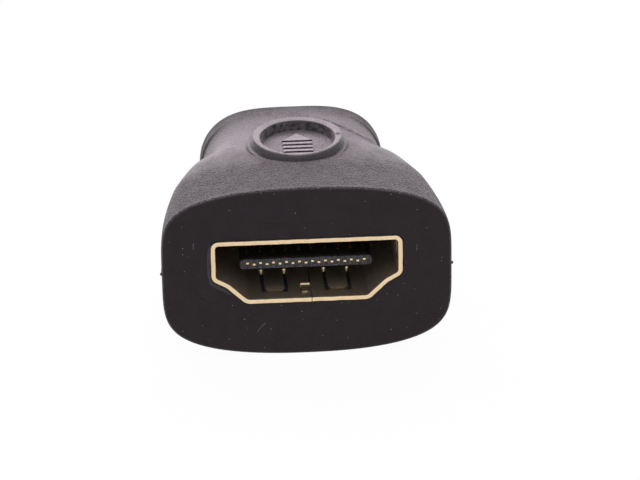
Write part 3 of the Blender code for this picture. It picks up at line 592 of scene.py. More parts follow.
def beads_along(name, runs, bead, finish=None):
    """An object of beads along runs of 3-D points, dressed if it has a finish."""
    bm = bmesh.new()
    for run in runs:
        verts = [bm.verts.new(point) for point in run]
        for pair in zip(verts, verts[1:]):
            bm.edges.new(pair)
    mesh = bpy.data.meshes.new(name)
    bm.to_mesh(mesh)
    bm.free()
    group = bpy.data.node_groups.get("bead") or bead_tree()
    values = dict(zip(BEAD_INPUTS, bead))
    if finish is None:
        return grown(name, mesh, group, values)
    beads = grown(name, mesh, group, {**values, "Material": finish}, math.radians(60.0))
    return dress(beads, finish)


def rubber_zones(tree, where, drawn):
    """How far each spot of the rubber lies in each zone of its finish, by the zone's name."""
    x, y, z = tree.split(where)
    facing = tree.split(tree.add("ShaderNodeNewGeometry").outputs["Normal"])
    blotches = tree.speckle(drawn, BLOTCH_SIZE, detail=3.0)
    behind = tree.math("ADD", y, tree.remap(blotches, NOISE_RANGE, -0.5 * MM, 0.5 * MM))
    from_ring = tree.vector_math("SUBTRACT", where, (0.0, RING_CENTRE, 0.0))[0]
    level = tree.vector_math("MULTIPLY", from_ring, (1.0, 1.0, 0.0))[0]
    away = tree.vector_math("LENGTH", level)["Value"]

    # Only faces that count as facing up get the painted sheen, the painted glints and the paler bloom
    up = tree.remap(facing["Z"], UP_FACING, smooth=True)
    front = tree.remap(facing["Y"], FRONT_FACING, 1.0, 0.0)
    ring = tree.times(tree.remap(away, RING_REACH, 1.0, 0.0), tree.remap(z, RING_FOOT, base=BODY_MIDDLE))
    worn = tree.remap(behind, WEAR_START, smooth=True, base=FACE)
    # Painted sheen in the dish: much stronger on its left as painted light, weaker at its end
    dish = tree.times(
        tree.remap(behind, DISH_START, 0.0, DISH_PAINTED_SHEEN, smooth=True, base=FACE),
        tree.remap(x, DISH_LEFT, DISH_LEFT_PAINTED_LIGHT_GAIN, 1.0, smooth=True),
        tree.remap(behind, DISH_END, 1.0, DISH_END_SHARE, smooth=True, base=FACE),
    )
    # Painted sheen on the ring: full on its lip, less on its flank and behind its centre
    lip_painted_sheen = tree.remap(z, RING_LIP, RING_FLANK_SHARE, 1.0, base=BODY_MIDDLE)
    lip_painted_sheen = tree.times(lip_painted_sheen, tree.remap(y, RING_BACK, 1.0, RING_BACK_SHARE, base=RING_CENTRE))
    return {
        "tone": tree.remap(blotches, (0.35, 0.65)),
        "up": up,
        "front": tree.times(front, tree.remap(y, FACE_EDGE, 1.0, 0.0, base=FACE)),
        "worn": tree.math("MAXIMUM", worn, ring),
        "dish": dish,
        "greyed": tree.math("MAXIMUM", tree.times(ring, lip_painted_sheen), dish),
        "grained": tree.remap(y, GRAIN_START, EDGE_RELIEF, 1.0, base=FACE),
        "recess wall painted light": tree.times(tree.remap(away, RECESS_REACH, 1.0, 0.0), ring, tree.rest(up)),
        "rear": tree.remap(y, REAR_START, 0.0, REAR_DULLING, base=FACE),
    }


def rubber_finish(settings, name="black_rubber", polished=False):
    """Matte black rubber: coarse grain behind the face's edge, worn smooth with painted sheen in the dish and
    ring.

    Besides the recess's wall, greyed in patches of mottling by painted light, only what faces up is greyed,
    by painted sheen. The polished kind gets brighter painted sheen still wherever it is used.
    """
    material, tree, shader, where = new_finish(name)
    drawn = tree.stretched(where, GRAIN_STRETCH)
    zones = rubber_zones(tree, where, drawn)
    tone, up, front, worn, rear = (zones[key] for key in ("tone", "up", "front", "worn", "rear"))

    # Painted sheen: upward faces are greyed by the zones' shares, or fully on the polished kind
    greyed = tree.times(up, 1.0 if polished else zones["greyed"], tree.scaled(tone, 0.16, 0.84))
    # Painted light: the recess's wall, shaded by the recess, is greyed in patches of mottling
    recess_painted_light = tree.remap(tree.speckle(drawn, MOTTLE_SIZE, detail=3.0), (0.4, 0.66), 0.0, RECESS_WALL_PAINTED_LIGHT)
    greyed = tree.scaled(zones["recess wall painted light"], recess_painted_light, greyed)

    coarse = tree.speckle(drawn, settings.grain, roughness=0.6)
    cells = tree.add("ShaderNodeTexVoronoi", {"Vector": drawn, "Scale": 0.8 / settings.grain})
    grain = tree.math("ADD", coarse, tree.times(cells.outputs["Distance"], 0.5))
    relief = tree.remap(worn, WHOLE, 1.0, WORN_RELIEF)
    relief = tree.times(relief, tree.remap(front, WHOLE, 1.0, FACE_RELIEF), zones["grained"])

    # Bloom from handling follows the tone and spares the face; painted sheen makes it paler on upward faces
    bloom_and_painted_sheen = tree.times(tree.scaled(tone, 0.35, 0.4), tree.remap(front, WHOLE, 1.0, FACE_BLOOM))
    bloom_and_painted_sheen = tree.times(bloom_and_painted_sheen, tree.scaled(up, 0.6, 0.4))
    # Painted glints: pale specks on upward grained faces stand in for the grain's sparkle
    specks = tree.remap(tree.speckle(drawn, PAINTED_GLINT_SIZE, detail=1.0), (0.4, 0.65), -0.6, 2.1)
    specks = tree.times(specks, tree.times(relief, up))
    bloom_and_painted_sheen = tree.math("MAXIMUM", tree.math("ADD", bloom_and_painted_sheen, specks), 0.0)
    colour = tree.blend(bloom_and_painted_sheen, settings.colour, settings.pale_colour)
    # The painted sheen's colour, brighter on the polished kind
    rubbed = shade(settings.painted_sheen_colour, MARK_PAINTED_SHEEN_GAIN if polished else 1.0)

    rough = tree.remap(worn, WHOLE, FRESH_ROUGHNESS, WORN_ROUGHNESS)
    toned = tree.remap(tone, WHOLE, TONE_ROUGHNESS, -TONE_ROUGHNESS)
    for change in (toned, rear, tree.remap(coarse, NOISE_RANGE, GRAIN_ROUGHNESS, -GRAIN_ROUGHNESS)):
        rough = tree.math("ADD", rough, change)
    finish_surface(tree, shader, tree.blend(greyed, colour, rubbed), rough, grain, relief, GRAIN_DEPTH)

    dusty = tree.scaled(zones["dish"], 0.2, tree.remap(rear, (0.0, REAR_DULLING), 0.22, 0.0))
    for socket, value in {
        "IOR": 1.36,
        "Specular IOR Level": tree.remap(rear, (0.0, REAR_DULLING), 0.5, 0.2),
        "Specular Tint": (1.0, 0.84, 0.92, 1.0),
        "Sheen Weight": tree.times(dusty, tree.rest(front)),
        "Sheen Tint": (1.0, 0.93, 0.98, 1.0),
    }.items():
        tree.feed(value, shader.inputs[socket])
    return material


def tongue_finish():
    """Dark moulded insulator whose exposed front end is rubbed grey."""
    material, tree, shader, where = new_finish("dark_insulator")
    fine = tree.speckle(where, 0.13 * MM, detail=4.0, roughness=0.75)
    edge = tree.math("ADD", tree.split(where)["Y"], tree.remap(fine, NOISE_RANGE, -0.06 * MM, 0.06 * MM))
    near = tree.remap(edge, (0.06 * MM, 0.2 * MM), 1.0, 0.0, base=tongue_tip()[0])
    rubbed = tree.blend(tree.remap(fine, (0.47, 0.66)), (0.002, 0.002, 0.003), (0.19, 0.168, 0.207))
    colour = tree.blend(near, (0.012, 0.010, 0.009), rubbed)
    shader.inputs["Specular IOR Level"].default_value = 0.3
    finish_surface(tree, shader, colour, tree.remap(fine, NOISE_RANGE, 0.35, 0.55), fine, 0.6, 0.015 * MM)
    return material


def scuffed_finish(name, pale):
    """Rubber of a paler tone in uneven strokes: rubbed on the scuffs, painted light on the crept bead."""
    material, tree, shader, where = new_finish(name)
    fine = tree.speckle(tree.stretched(where, (1.0, 1.0, 0.4)), 0.09 * MM, detail=4.0, roughness=0.7)
    colour = tree.blend(tree.remap(fine, (0.38, 0.62)), shade(pale, 0.25), pale)
    shader.inputs["IOR"].default_value = 1.4
    finish_surface(tree, shader, colour, tree.remap(fine, NOISE_RANGE, 0.4, 0.6), fine, 0.6, 0.02 * MM)
    return material


def metal_finish(name, colour, roughness, spread, streak=None):
    """Plated metal whose roughness wanders; streak gives the stretch of its rolling marks."""
    material, tree, shader, where = new_finish(name)
    if streak:
        where = tree.stretched(where, streak)
    wander = tree.speckle(where, 0.12 * MM, detail=3.0)
    mixed = tree.blend(tree.remap(tree.speckle(where, 0.9 * MM), (0.35, 0.7)), colour, shade(colour, 0.9))
    rough = tree.remap(wander, NOISE_RANGE, roughness - spread, roughness + spread)
    shader.inputs["Metallic"].default_value = 1.0
    finish_surface(tree, shader, mixed, rough, wander, 0.35, 0.006 * MM)
    return material


def plastic_finish(name, colour, roughness, grain=0.08 * MM, contrast=0.3):
    """Moulded plastic with a fine grain and small changes of tone."""
    material, tree, shader, where = new_finish(name)
    fine = tree.speckle(where, grain, detail=3.0, roughness=0.6)
    cloud = tree.speckle(where, 12 * grain)
    share = tree.remap(tree.math("ADD", fine, cloud), (0.7, 1.3))
    mixed = tree.blend(share, shade(colour, 1.0 - contrast), shade(colour, 1.0 + contrast))
    rough = tree.remap(cloud, NOISE_RANGE, roughness - 0.06, roughness + 0.06)
    finish_surface(tree, shader, mixed, rough, fine, 0.5, 0.01 * MM)
    return material


# Meshes


def scene_object(name, mesh):
    obj = bpy.data.objects.new(name, mesh)
    bpy.context.scene.collection.objects.link(obj)
    return obj


def mesh_from(name, bm, smooth=None):
    bmesh.ops.recalc_face_normals(bm, faces=bm.faces)
    mesh = bpy.data.meshes.new(name)
    bm.to_mesh(mesh)
    bm.free()
    return smooth_shaded(mesh, smooth)


def smooth_shaded(mesh, angle):
    """The mesh, shaded smooth up to an angle between faces if one is given."""
    if angle is not None:
        mesh.shade_smooth()
        mesh.set_sharp_from_angle(angle=angle)
    return mesh


def baked(obj, name, smooth=None):
    """A plain mesh object with everything that obj's modifiers make; obj is removed."""
    bpy.context.view_layer.update()
    evaluated = obj.evaluated_get(bpy.context.evaluated_depsgraph_get())
    mesh = bpy.data.meshes.new_from_object(evaluated)
    bpy.data.objects.remove(obj, do_unlink=True)
    mesh.name = name
    return scene_object(name, smooth_shaded(mesh, smooth))


def combined(bm, joined, cut, name, smooth):
    """An object of a solid to which some solids are joined and from which others are then cut."""
    obj = scene_object(f"{name}_blank", mesh_from(f"{name}_blank", bm))
    steps = [("UNION", solid) for solid in joined] + [("DIFFERENCE", solid) for solid in cut]
    helpers = []
    for operation, solid in steps:
        helper = scene_object(f"{name}_helper", mesh_from("helper", solid))
        modifier = obj.modifiers.new("combine", "BOOLEAN")
        modifier.operation = operation
        modifier.solver = "EXACT"
        modifier.object = helper
        helpers.append(helper)
    result = baked(obj, name, smooth)
    for helper in helpers:
        bpy.data.objects.remove(helper, do_unlink=True)
    return result


def dress(obj, finish, replaced=(), faces=None):
    """Give a finished piece its materials, its body and the nodes it stands for."""
    obj.data.materials.clear()
    for material in finish if isinstance(finish, (list, tuple)) else [finish]:
        obj.data.materials.append(material)
    for polygon in obj.data.polygons:
        polygon.material_index = faces(polygon) if faces else 0
    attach(obj, "root")
    if replaced:
        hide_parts(*replaced)
    return obj


def finish_node(name, material):
    """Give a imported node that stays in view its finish."""
    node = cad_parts[name]
    for slot in node.material_slots:
        slot.material = material


def smoothed(points, steps=6):
    """Points on a smooth curve through the given points."""
    points = [Vector(point) for point in points]
    ends = [2 * points[0] - points[1]] + points + [2 * points[-1] - points[-2]]
    curve = []
    for a, b, c, d in zip(ends, ends[1:], ends[2:], ends[3:]):
        squared = 2 * a - 5 * b + 4 * c - d
        cubed = 3 * b - a - 3 * c + d
        for k in range(steps):
            t = k / steps
            curve.append((2 * b + (c - a) * t + squared * t ** 2 + cubed * t ** 3) / 2)
    return curve + [points[-1]]


def bridge(bm, loops):
    """Faces between each loop of vertices and the next; a loop may be a single point."""
    count = max(len(loop) for loop in loops)
    for near, far in zip(loops, loops[1:]):
        for k in range(count):
            j = (k + 1) % count
            corners = [loop[i % len(loop)] for loop, i in ((near, k), (near, j), (far, j), (far, k))]
            bm.faces.new(list(dict.fromkeys(corners)))


def closed_loft(bm, rings):
    """Faces between rings of points; the first and last ring are capped."""
    loops = [[bm.verts.new(point) for point in ring] for ring in rings]
    bridge(bm, loops)
    bm.faces.new(loops[0][::-1])
    bm.faces.new(loops[-1])


def prism(rings):
    """A closed solid between rings of points."""
    bm = bmesh.new()
    closed_loft(bm, rings)
    return bm


def turned(profile, matrix, segments=120, rear_flare=0.0, side_flare=0.0, lip_spread=0.0, rear_trim=0.0):
    """A solid turned about z from (radius, height) points.

    The flares spread its lower part out, lip_spread moves its upper edge out at the sides, and rear_trim
    moves that edge in at the rear.
    """
    bm = bmesh.new()
    rings = []
    for radius, height in profile:
        ring = []
        for k in range(segments if radius > 0 else 1):
            angle = 2 * math.pi * k / segments
            x, y = math.cos(angle), math.sin(angle)
            side, rear = x ** 4, max(y, 0.0) ** 2
            reach = radius + (rear_flare * rear + side_flare * side) * max(-height, 0.0)
            if radius > 0:
                reach += (lip_spread * side - rear_trim * rear) * max(1.0 + height / RING_FLANK_DROP, 0.0)
            ring.append(bm.verts.new(matrix @ Vector((reach * x, reach * y, height))))
        rings.append(ring)
    bridge(bm, rings)
    return bm


def box_into(bm, low, high):
    size = Vector(high) - Vector(low)
    middle = (Vector(high) + Vector(low)) / 2
    bmesh.ops.create_cube(bm, size=1.0, matrix=Matrix.Translation(middle) @ Matrix.Diagonal((*size, 1.0)))


def arc(centre, radius, start, end, steps):
    """Points on an arc, from the start angle to the end angle in degrees."""
    angles = [math.radians(start + (end - start) * k / steps) for k in range(steps + 1)]
    return [(centre[0] + radius * math.cos(a), centre[1] + radius * math.sin(a)) for a in angles]


# Shell outlines


def crossing(line_a, line_b):
    (ax, ay), (adx, ady) = line_a
    (bx, by), (bdx, bdy) = line_b
    along = ((bx - ax) * bdy - (by - ay) * bdx) / (adx * bdy - ady * bdx)
    return ax + along * adx, ay + along * ady


def offset_corners(corners, distance):
    """Move each side of a clockwise polygon outwards by a distance."""
    lines = []
    for (ax, ay), (bx, by) in zip(corners, corners[1:] + corners[:1]):
        length = math.hypot(bx - ax, by - ay)
        dx, dy = (bx - ax) / length, (by - ay) / length
        lines.append(((ax - dy * distance, ay + dx * distance), (dx, dy)))
    return [crossing(before, after) for before, after in zip(lines[-1:] + lines[:-1], lines)]


def rounded(corners, radii, segments):
    """A polygon with each corner replaced by an arc of its own radius."""
    points = []
    for index, (corner, radius) in enumerate(zip(corners, radii)):
        corner = Vector(corner)
        before = (Vector(corners[index - 1]) - corner).normalized()
        after = (Vector(corners[(index + 1) % len(corners)]) - corner).normalized()
        half = before.angle(after) / 2
        middle = corner + (before + after).normalized() * radius / math.sin(half)
        first = corner + before * radius / math.tan(half) - middle
        turn = math.pi - 2 * half
        if before.x * after.y - before.y * after.x > 0:
            turn = -turn
        for step in range(segments + 1):
            angle = turn * step / segments
            x = first.x * math.cos(angle) - first.y * math.sin(angle)
            y = first.x * math.sin(angle) + first.y * math.cos(angle)
            points.append((middle.x + x, middle.y + y))
    return points


class Outline:
    """A folded shell's outside: the corners of its right half, top first, and their radii."""

    def __init__(self, half_corners, radii, middle):
        self.half_corners = half_corners
        self.radii = radii
        self.middle = middle

    def points(self, distance=0.0, segments=10):
        corners = self.half_corners + [(-x, z) for x, z in reversed(self.half_corners)]
        radii = []
        for radius in self.radii + self.radii[::-1]:
            change = distance if radius > 0 else -distance
            radii.append(max(abs(radius) + change, 0.05 * MM))
        flat = rounded(offset_corners(corners, distance), radii, segments)
        return [(x, z + self.middle) for x, z in flat]

    def ring(self, y, distance=0.0, spacing=0.15 * MM):
        """The outline at y as 3-D points, split up alike at every distance."""
        flat = self.points(distance)
        plain = self.points()
        ring = []
        for k, (ax, az) in enumerate(flat):
            (bx, bz), (cx, cz), (dx, dz) = flat[(k + 1) % len(flat)], plain[k], plain[(k + 1) % len(flat)]
            pieces = max(round(math.hypot(dx - cx, dz - cz) / spacing), 1)
            for i in range(pieces):
                ring.append((ax + (bx - ax) * i / pieces, y, az + (bz - az) * i / pieces))
        return ring


def socket_outline():
    half_width = SHELL_HIGH.x
    top = (SHELL_HIGH.z - SHELL_LOW.z) / 2
    corners = [
        (half_width, top),
        (half_width, top - 3.22 * MM),
        (half_width - 1.16 * MM, top - 3.87 * MM),
        (4.74 * MM, -top),
    ]
    return Outline(corners, [0.6 * MM, 0.7 * MM, -1.6 * MM, 0.9 * MM], (SHELL_HIGH.z + SHELL_LOW.z) / 2)


def plug_outline():
    half_width = PLUG_HIGH.x
    top = (PLUG_HIGH.z - PLUG_LOW.z) / 2
    corners = [(half_width, top), (half_width, top - 1.1 * MM), (3.95 * MM, -top)]
    return Outline(corners, [0.35 * MM, 0.3 * MM, 0.4 * MM], (PLUG_HIGH.z + PLUG_LOW.z) / 2)


# Rubber body


def eased(value, start, end):
    """0 below start, 1 above end and smooth between; takes numbers or arrays."""
    share = np.clip((value - start) / (end - start), 0.0, 1.0)
    return share * share * (3.0 - 2.0 * share)


def body_half_width(s):
    """Half-width at a distance s behind the face."""
    if s <= BLOCK_LENGTH:
        share = max(s - FRONT_EDGE_RADIUS, 0.0) / (BLOCK_LENGTH - FRONT_EDGE_RADIUS)
        return FACE_HALF_WIDTH - (FACE_HALF_WIDTH - BLOCK_END_HALF_WIDTH) * share ** SIDE_TAPER_POWER
    if s < LOBE_FRONT:
        share = (s - BLOCK_LENGTH) / (LOBE_FRONT - BLOCK_LENGTH)
        sag = 4.0 * share * (1.0 - share) * WAIST_SIDE_SAG
        return BLOCK_END_HALF_WIDTH * (1.0 - share) + (LOBE_HALF_WIDTH - FLANK_STEP) * share - sag
    stepped = float(eased(s, FLANK_STEP_START, FLANK_STEP_START + FLANK_STEP_LENGTH))
    return LOBE_HALF_WIDTH - FLANK_STEP * (1.0 - stepped)


def lobe_half_height(s):
    fall = np.clip((s - LOBE_RIDGE) / (BODY_LENGTH - LOBE_RIDGE), 0.0, 1.0)
    return LOBE_HALF_HEIGHT - (LOBE_HALF_HEIGHT - LOBE_END_HALF_HEIGHT) * fall ** 2


def block_half_height(s):
    share = np.clip((s - FRONT_EDGE_RADIUS) / (BLOCK_LENGTH - FRONT_EDGE_RADIUS), 0.0, 1.0)
    return BLOCK_END_HALF_HEIGHT + (FACE_HALF_HEIGHT - BLOCK_END_HALF_HEIGHT) * (1.0 - share) ** TOP_DIP_POWER


def brow_line():
    """The brow as arrays of x and distance behind the face."""
    points = smoothed([(x * MM, s * MM) for x, s in BROW])
    return [point.x for point in points], [point.y for point in points]


def body_half_height(s, x):
    """Half-height at s behind the face for each x: block, drop into the dish, slow climb, then the lobe."""
    aside = np.abs(x)
    behind_ring = 1.0 - eased(aside, *SADDLE_FADE)
    shoulder = SHOULDER_MIDDLE + (SHOULDER_SIDE - SHOULDER_MIDDLE) * eased(aside, *SHOULDER_FADE)
    shoulder = shoulder + SADDLE_DELAY * behind_ring
    brow = np.interp(x, *brow_line())
    depth = DISH_DEPTH_MIDDLE + (DISH_DEPTH_SIDE - DISH_DEPTH_MIDDLE) * eased(aside, *DISH_DEPTH_FADE)
    lip = BROW_STEP * (BROW_STEP_LEFT_SHARE + (1.0 - BROW_STEP_LEFT_SHARE) * eased(x, *BROW_STEP_FADE))
    lowest = shoulder + DISH_DROP_LENGTH + SADDLE_RUN * behind_ring
    top = block_half_height(shoulder)
    bottom = lobe_half_height(brow) - depth
    soft = eased(s, shoulder, lowest)
    steep = 1.0 - (1.0 - np.clip((s - shoulder) / (lowest - shoulder), 0.0, 1.0)) ** 2
    crisp = LEFT_CRISPNESS * eased(-x, *LEFT_CRISPNESS_FADE)
    drop = top + (bottom - top) * (soft * (1.0 - crisp) + steep * crisp)
    climb = bottom + (depth - lip) * np.clip((s - lowest) / (brow - lowest), 0.0, 1.0) ** DISH_CLIMB_POWER
    climb = climb + lip * eased(s, brow - BROW_STEP_LENGTH, brow)
    dish = np.where(s < lowest, drop, climb)
    return np.where(s <= shoulder, block_half_height(s), np.where(s >= brow, lobe_half_height(s), dish))


def squareness(s):
    for (start, *before), (end, *after) in zip(SQUARENESS, SQUARENESS[1:]):
        if s <= end:
            share = (s - start) / (end - start)
            return [a + (b - a) * share for a, b in zip(before, after)]
    return SQUARENESS[-1][1:]


def edge_inset(s):
    for depth, radius in ((s, FRONT_EDGE_RADIUS), (BODY_LENGTH - s, REAR_EDGE_RADIUS)):
        if depth < radius:
            return radius - math.sqrt(max(radius ** 2 - (radius - depth) ** 2, 0.0))
    return 0.0


def body_section(s, count):
    """Evenly spaced points round the section at s, from the right side upwards."""
    across, upright = squareness(s)
    inset = edge_inset(s)
    angle = np.linspace(0.0, 2 * np.pi, SECTION_SAMPLES)
    cosine, sine = np.cos(angle), np.sin(angle)
    x = np.sign(cosine) * np.abs(cosine) ** (2 / across) * (body_half_width(s) - inset)
    z = np.sign(sine) * np.abs(sine) ** (2 / upright) * (body_half_height(s, x) - inset)
    travelled = np.concatenate(([0.0], np.cumsum(np.hypot(np.diff(x), np.diff(z)))))
    wanted = np.linspace(0.0, travelled[-1], count + 1)[:-1]
    flat = zip(np.interp(wanted, travelled, x), np.interp(wanted, travelled, z))
    return [(px, FACE + s, pz + BODY_MIDDLE) for px, pz in flat]


def body_stations(count):
    """Distances behind the face, close together on the rounded edges."""
    front = [FRONT_EDGE_RADIUS * (1 - math.cos(math.radians(a))) for a in range(0, 90, 15)]
    rear_start = BODY_LENGTH - REAR_EDGE_RADIUS
    middle = [FRONT_EDGE_RADIUS + (rear_start - FRONT_EDGE_RADIUS) * k / count for k in range(count)]
    rear = [rear_start + REAR_EDGE_RADIUS * math.sin(math.radians(a)) for a in range(0, 91, 9)]
    return front + middle + rear


def ring_matrix():
    """The raised ring's frame: its lip plane, stretched along the adapter and tilted a little."""
    place = Matrix.Translation((0.0, RING_CENTRE, BODY_MIDDLE + RING_LIP_HEIGHT))
    return place @ Matrix.Rotation(RING_TILT, 4, "X") @ Matrix.Diagonal((1.0, RING_STRETCH, 1.0, 1.0))


def ring_blank():
    """The ring's outside, from its rounded lip over a hollow foot to a skirt that is buried in the body."""
    lip = RECESS_RADIUS + RING_LIP_WIDTH
    foot = lip + RING_FLANK_RUN + RING_FOOT_RADIUS
    edge = RING_BROW_RADIUS
    bottom = -RING_FLANK_DROP - RING_SKIRT
    profile = [(0.0, 0.0), (lip - edge, 0.0)]
    profile += arc((lip - edge, -edge), edge, 90, 30, 5)[1:]
    hollow = (foot, RING_FOOT_LIFT * RING_FOOT_RADIUS - RING_FLANK_DROP)
    profile += arc(hollow, RING_FOOT_RADIUS, 205, 262, 5)
    profile += [(foot + RING_SKIRT_SPREAD * RING_SKIRT, bottom), (0.0, bottom)]
    squeeze = Matrix.Diagonal((RING_SIDE_SQUEEZE, 1.0, 1.0, 1.0))
    return turned(
        profile, ring_matrix() @ squeeze, rear_flare=RING_REAR_FLARE, side_flare=RING_SIDE_FLARE,
        lip_spread=RING_LIP_SPREAD, rear_trim=RING_REAR_TRIM,
    )


def ring_recess():
    """The recess, with its edge at the lip rounded and a small fillet at its floor."""
    mouth = RECESS_RADIUS + RING_EDGE_RADIUS
    floor = (RECESS_RADIUS - RECESS_DRAFT - RECESS_FILLET, RECESS_FILLET - RECESS_DEPTH)
    profile = [(0.0, OVERCUT), (mouth, OVERCUT), (mouth, 0.0)]
    profile += arc((mouth, -RING_EDGE_RADIUS), RING_EDGE_RADIUS, 90, 180, 5)[1:]
    profile += arc(floor, RECESS_FILLET, 0, -90, 4)
    profile += [(0.0, -RECESS_DEPTH)]
    return turned(profile, ring_matrix() @ Matrix.Translation((0.0, -RECESS_FORWARD, 0.0)))


def lip_dent():
    """A small round dent in the ring's lip, on the right."""
    out = RECESS_RADIUS + DENT_OUT
    place = Matrix.Translation((out * math.cos(DENT_ANGLE), out * math.sin(DENT_ANGLE), DENT_UP))
    bm = bmesh.new()
    bmesh.ops.create_icosphere(bm, subdivisions=3, radius=DENT_RADIUS, matrix=ring_matrix() @ place)
    return bm


def passage(outline, distance, start, end):
    return prism([outline.ring(y, distance) for y in (start, end)])


def core_room():
    """The two rooms that the inner moulding fills."""
    front = (CORE_LOW, (CORE_HIGH.x, CORE_STEP, CORE_HIGH.z))
    rear = (
        (-CORE_REAR_HALF_WIDTH, CORE_STEP - OVERCUT, CORE_REAR_BOTTOM),
        (CORE_REAR_HALF_WIDTH, CORE_HIGH.y, CORE_REAR_TOP),
    )
    rooms = []
    for low, high in (front, rear):
        bm = bmesh.new()
        box_into(bm, [v - MOULD_GAP for v in low], [v + MOULD_GAP for v in high])
        rooms.append(bm)
    return rooms


def face_point(x, z, y=FACE):
    """A point x and z millimetres from the middle of the face."""
    return (x * MM, y, BODY_MIDDLE + z * MM)


def face_runs(runs, y=FACE):
    """Smooth runs of points on the face."""
    return [smoothed([face_point(x, z, y) for x, z in run]) for run in runs]


def witness_grooves():
    """Cutters for the fine lines that the mould's second shot left round the socket."""
    cutter = beads_along("witness_cutter", face_runs(WITNESS_RUNS), WITNESS_BEAD)
    bm = bmesh.new()
    bm.from_mesh(cutter.data)
    bpy.data.objects.remove(cutter, do_unlink=True)
    return bm


class ADAPTER_OT_rubber_body(bpy.types.Operator):
    """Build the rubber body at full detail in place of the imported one"""

    bl_idname = "adapter.rubber_body"
    bl_label = "Rubber body"

    def execute(self, context):
        settings = context.scene.adapter_rubber
        blank = prism([body_section(s, settings.section_points) for s in body_stations(settings.stations)])
        cut = [
            ring_recess(),
            lip_dent(),
            passage(socket_outline(), MOUTH_GAP, FACE - OVERCUT, CORE_LOW.y + OVERCUT),
            *core_room(),
            passage(plug_outline(), MOULD_GAP, CORE_HIGH.y - OVERCUT, REAR + OVERCUT),
            witness_grooves(),
        ]
        body = combined(blank, [ring_blank()], cut, "rubber_body", math.radians(32.0))
        dress(body, rubber_finish(settings), ["overmould"])
        return {"FINISHED"}


def mark_tree():
    """A row of flat bars across, laid out backwards from the start and joined to the given mesh."""
    inputs = dict.fromkeys(("Width", "Bar", "Pitch", "Start", "Height"), "Float")
    tree, given = new_geometry_tree("bars_behind_head", {**inputs, "Count": "Int"})
    first = tree.first("ShaderNodeCombineXYZ", {"Y": given["Start"]})
    step = tree.first("ShaderNodeCombineXYZ", {"Y": given["Pitch"]})
    sockets = {"Count": given["Count"], "Start Location": first, "Offset": step}
    row = tree.first("GeometryNodeMeshLine", sockets)
    rim = tree.times(given["Bar"], MARK_BAR_ROUNDING)
    half = tree.scaled(rim, -1.0, tree.times(given["Width"], 0.5))
    left = tree.first("ShaderNodeCombineXYZ", {"X": tree.times(half, -1.0)})
    right = tree.first("ShaderNodeCombineXYZ", {"X": half})
    spine = tree.first("GeometryNodeCurvePrimitiveLine", {"Start": left, "End": right})
    sockets = {"Width": given["Bar"], "Height": tree.times(given["Height"], 2.0)}
    flat = tree.first("GeometryNodeCurvePrimitiveQuadrilateral", sockets)
    section = tree.first("GeometryNodeFilletCurve", {"Curve": flat, "Radius": rim, "Count": 3}, mode="POLY")
    sockets = {"Curve": spine, "Profile Curve": section, "Fill Caps": True}
    bar = tree.first("GeometryNodeCurveToMesh", sockets)
    bars = tree.first("GeometryNodeInstanceOnPoints", {"Points": row, "Instance": bar})
    joined = tree.add("GeometryNodeJoinGeometry")
    for part in (bars, given["Geometry"]):
        tree.feed(part, joined.inputs[0])
    return close_geometry_tree(tree, joined.outputs[0], given["Material"])


class ADAPTER_OT_direction_mark(bpy.types.Operator):
    """Build the raised arrow in the recess on top"""

    bl_idname = "adapter.direction_mark"
    bl_label = "Direction mark"

    def execute(self, context):
        length = MARK_BARS * MARK_PITCH + MARK_HEAD
        base = MARK_BARS * MARK_PITCH - length / 2
        outline = [(-MARK_WIDTH / 2, base), (MARK_WIDTH / 2, base), (0.0, base + MARK_HEAD)]
        bm = prism([[(x, y, z) for x, y in outline] for z in (-MARK_HEIGHT, MARK_HEIGHT)])
        bmesh.ops.bevel(bm, geom=bm.edges[:], offset=MARK_BEVEL, segments=3, profile=0.5, affect="EDGES")
        head = mesh_from("mark_head", bm)
        # Painted sheen: every upward face of the mark is greyed brighter than the body's
        finish = rubber_finish(context.scene.adapter_rubber, "polished_rubber", polished=True)
        values = {
            "Width": MARK_WIDTH, "Bar": MARK_BAR, "Count": MARK_BARS, "Pitch": MARK_PITCH,
            "Start": MARK_BAR / 2 - length / 2, "Height": MARK_HEIGHT, "Material": finish,
        }
        mark = grown("direction_mark", head, mark_tree(), values, math.radians(30.0))
        unstretched = Matrix.Diagonal((1.0, 1.0 / RING_STRETCH, 1.0, 1.0))
        recess_floor = Matrix.Translation((0.0, -RECESS_FORWARD, -RECESS_DEPTH))
        mark.data.transform(ring_matrix() @ unstretched @ recess_floor)
        dress(mark, finish)
        return {"FINISHED"}


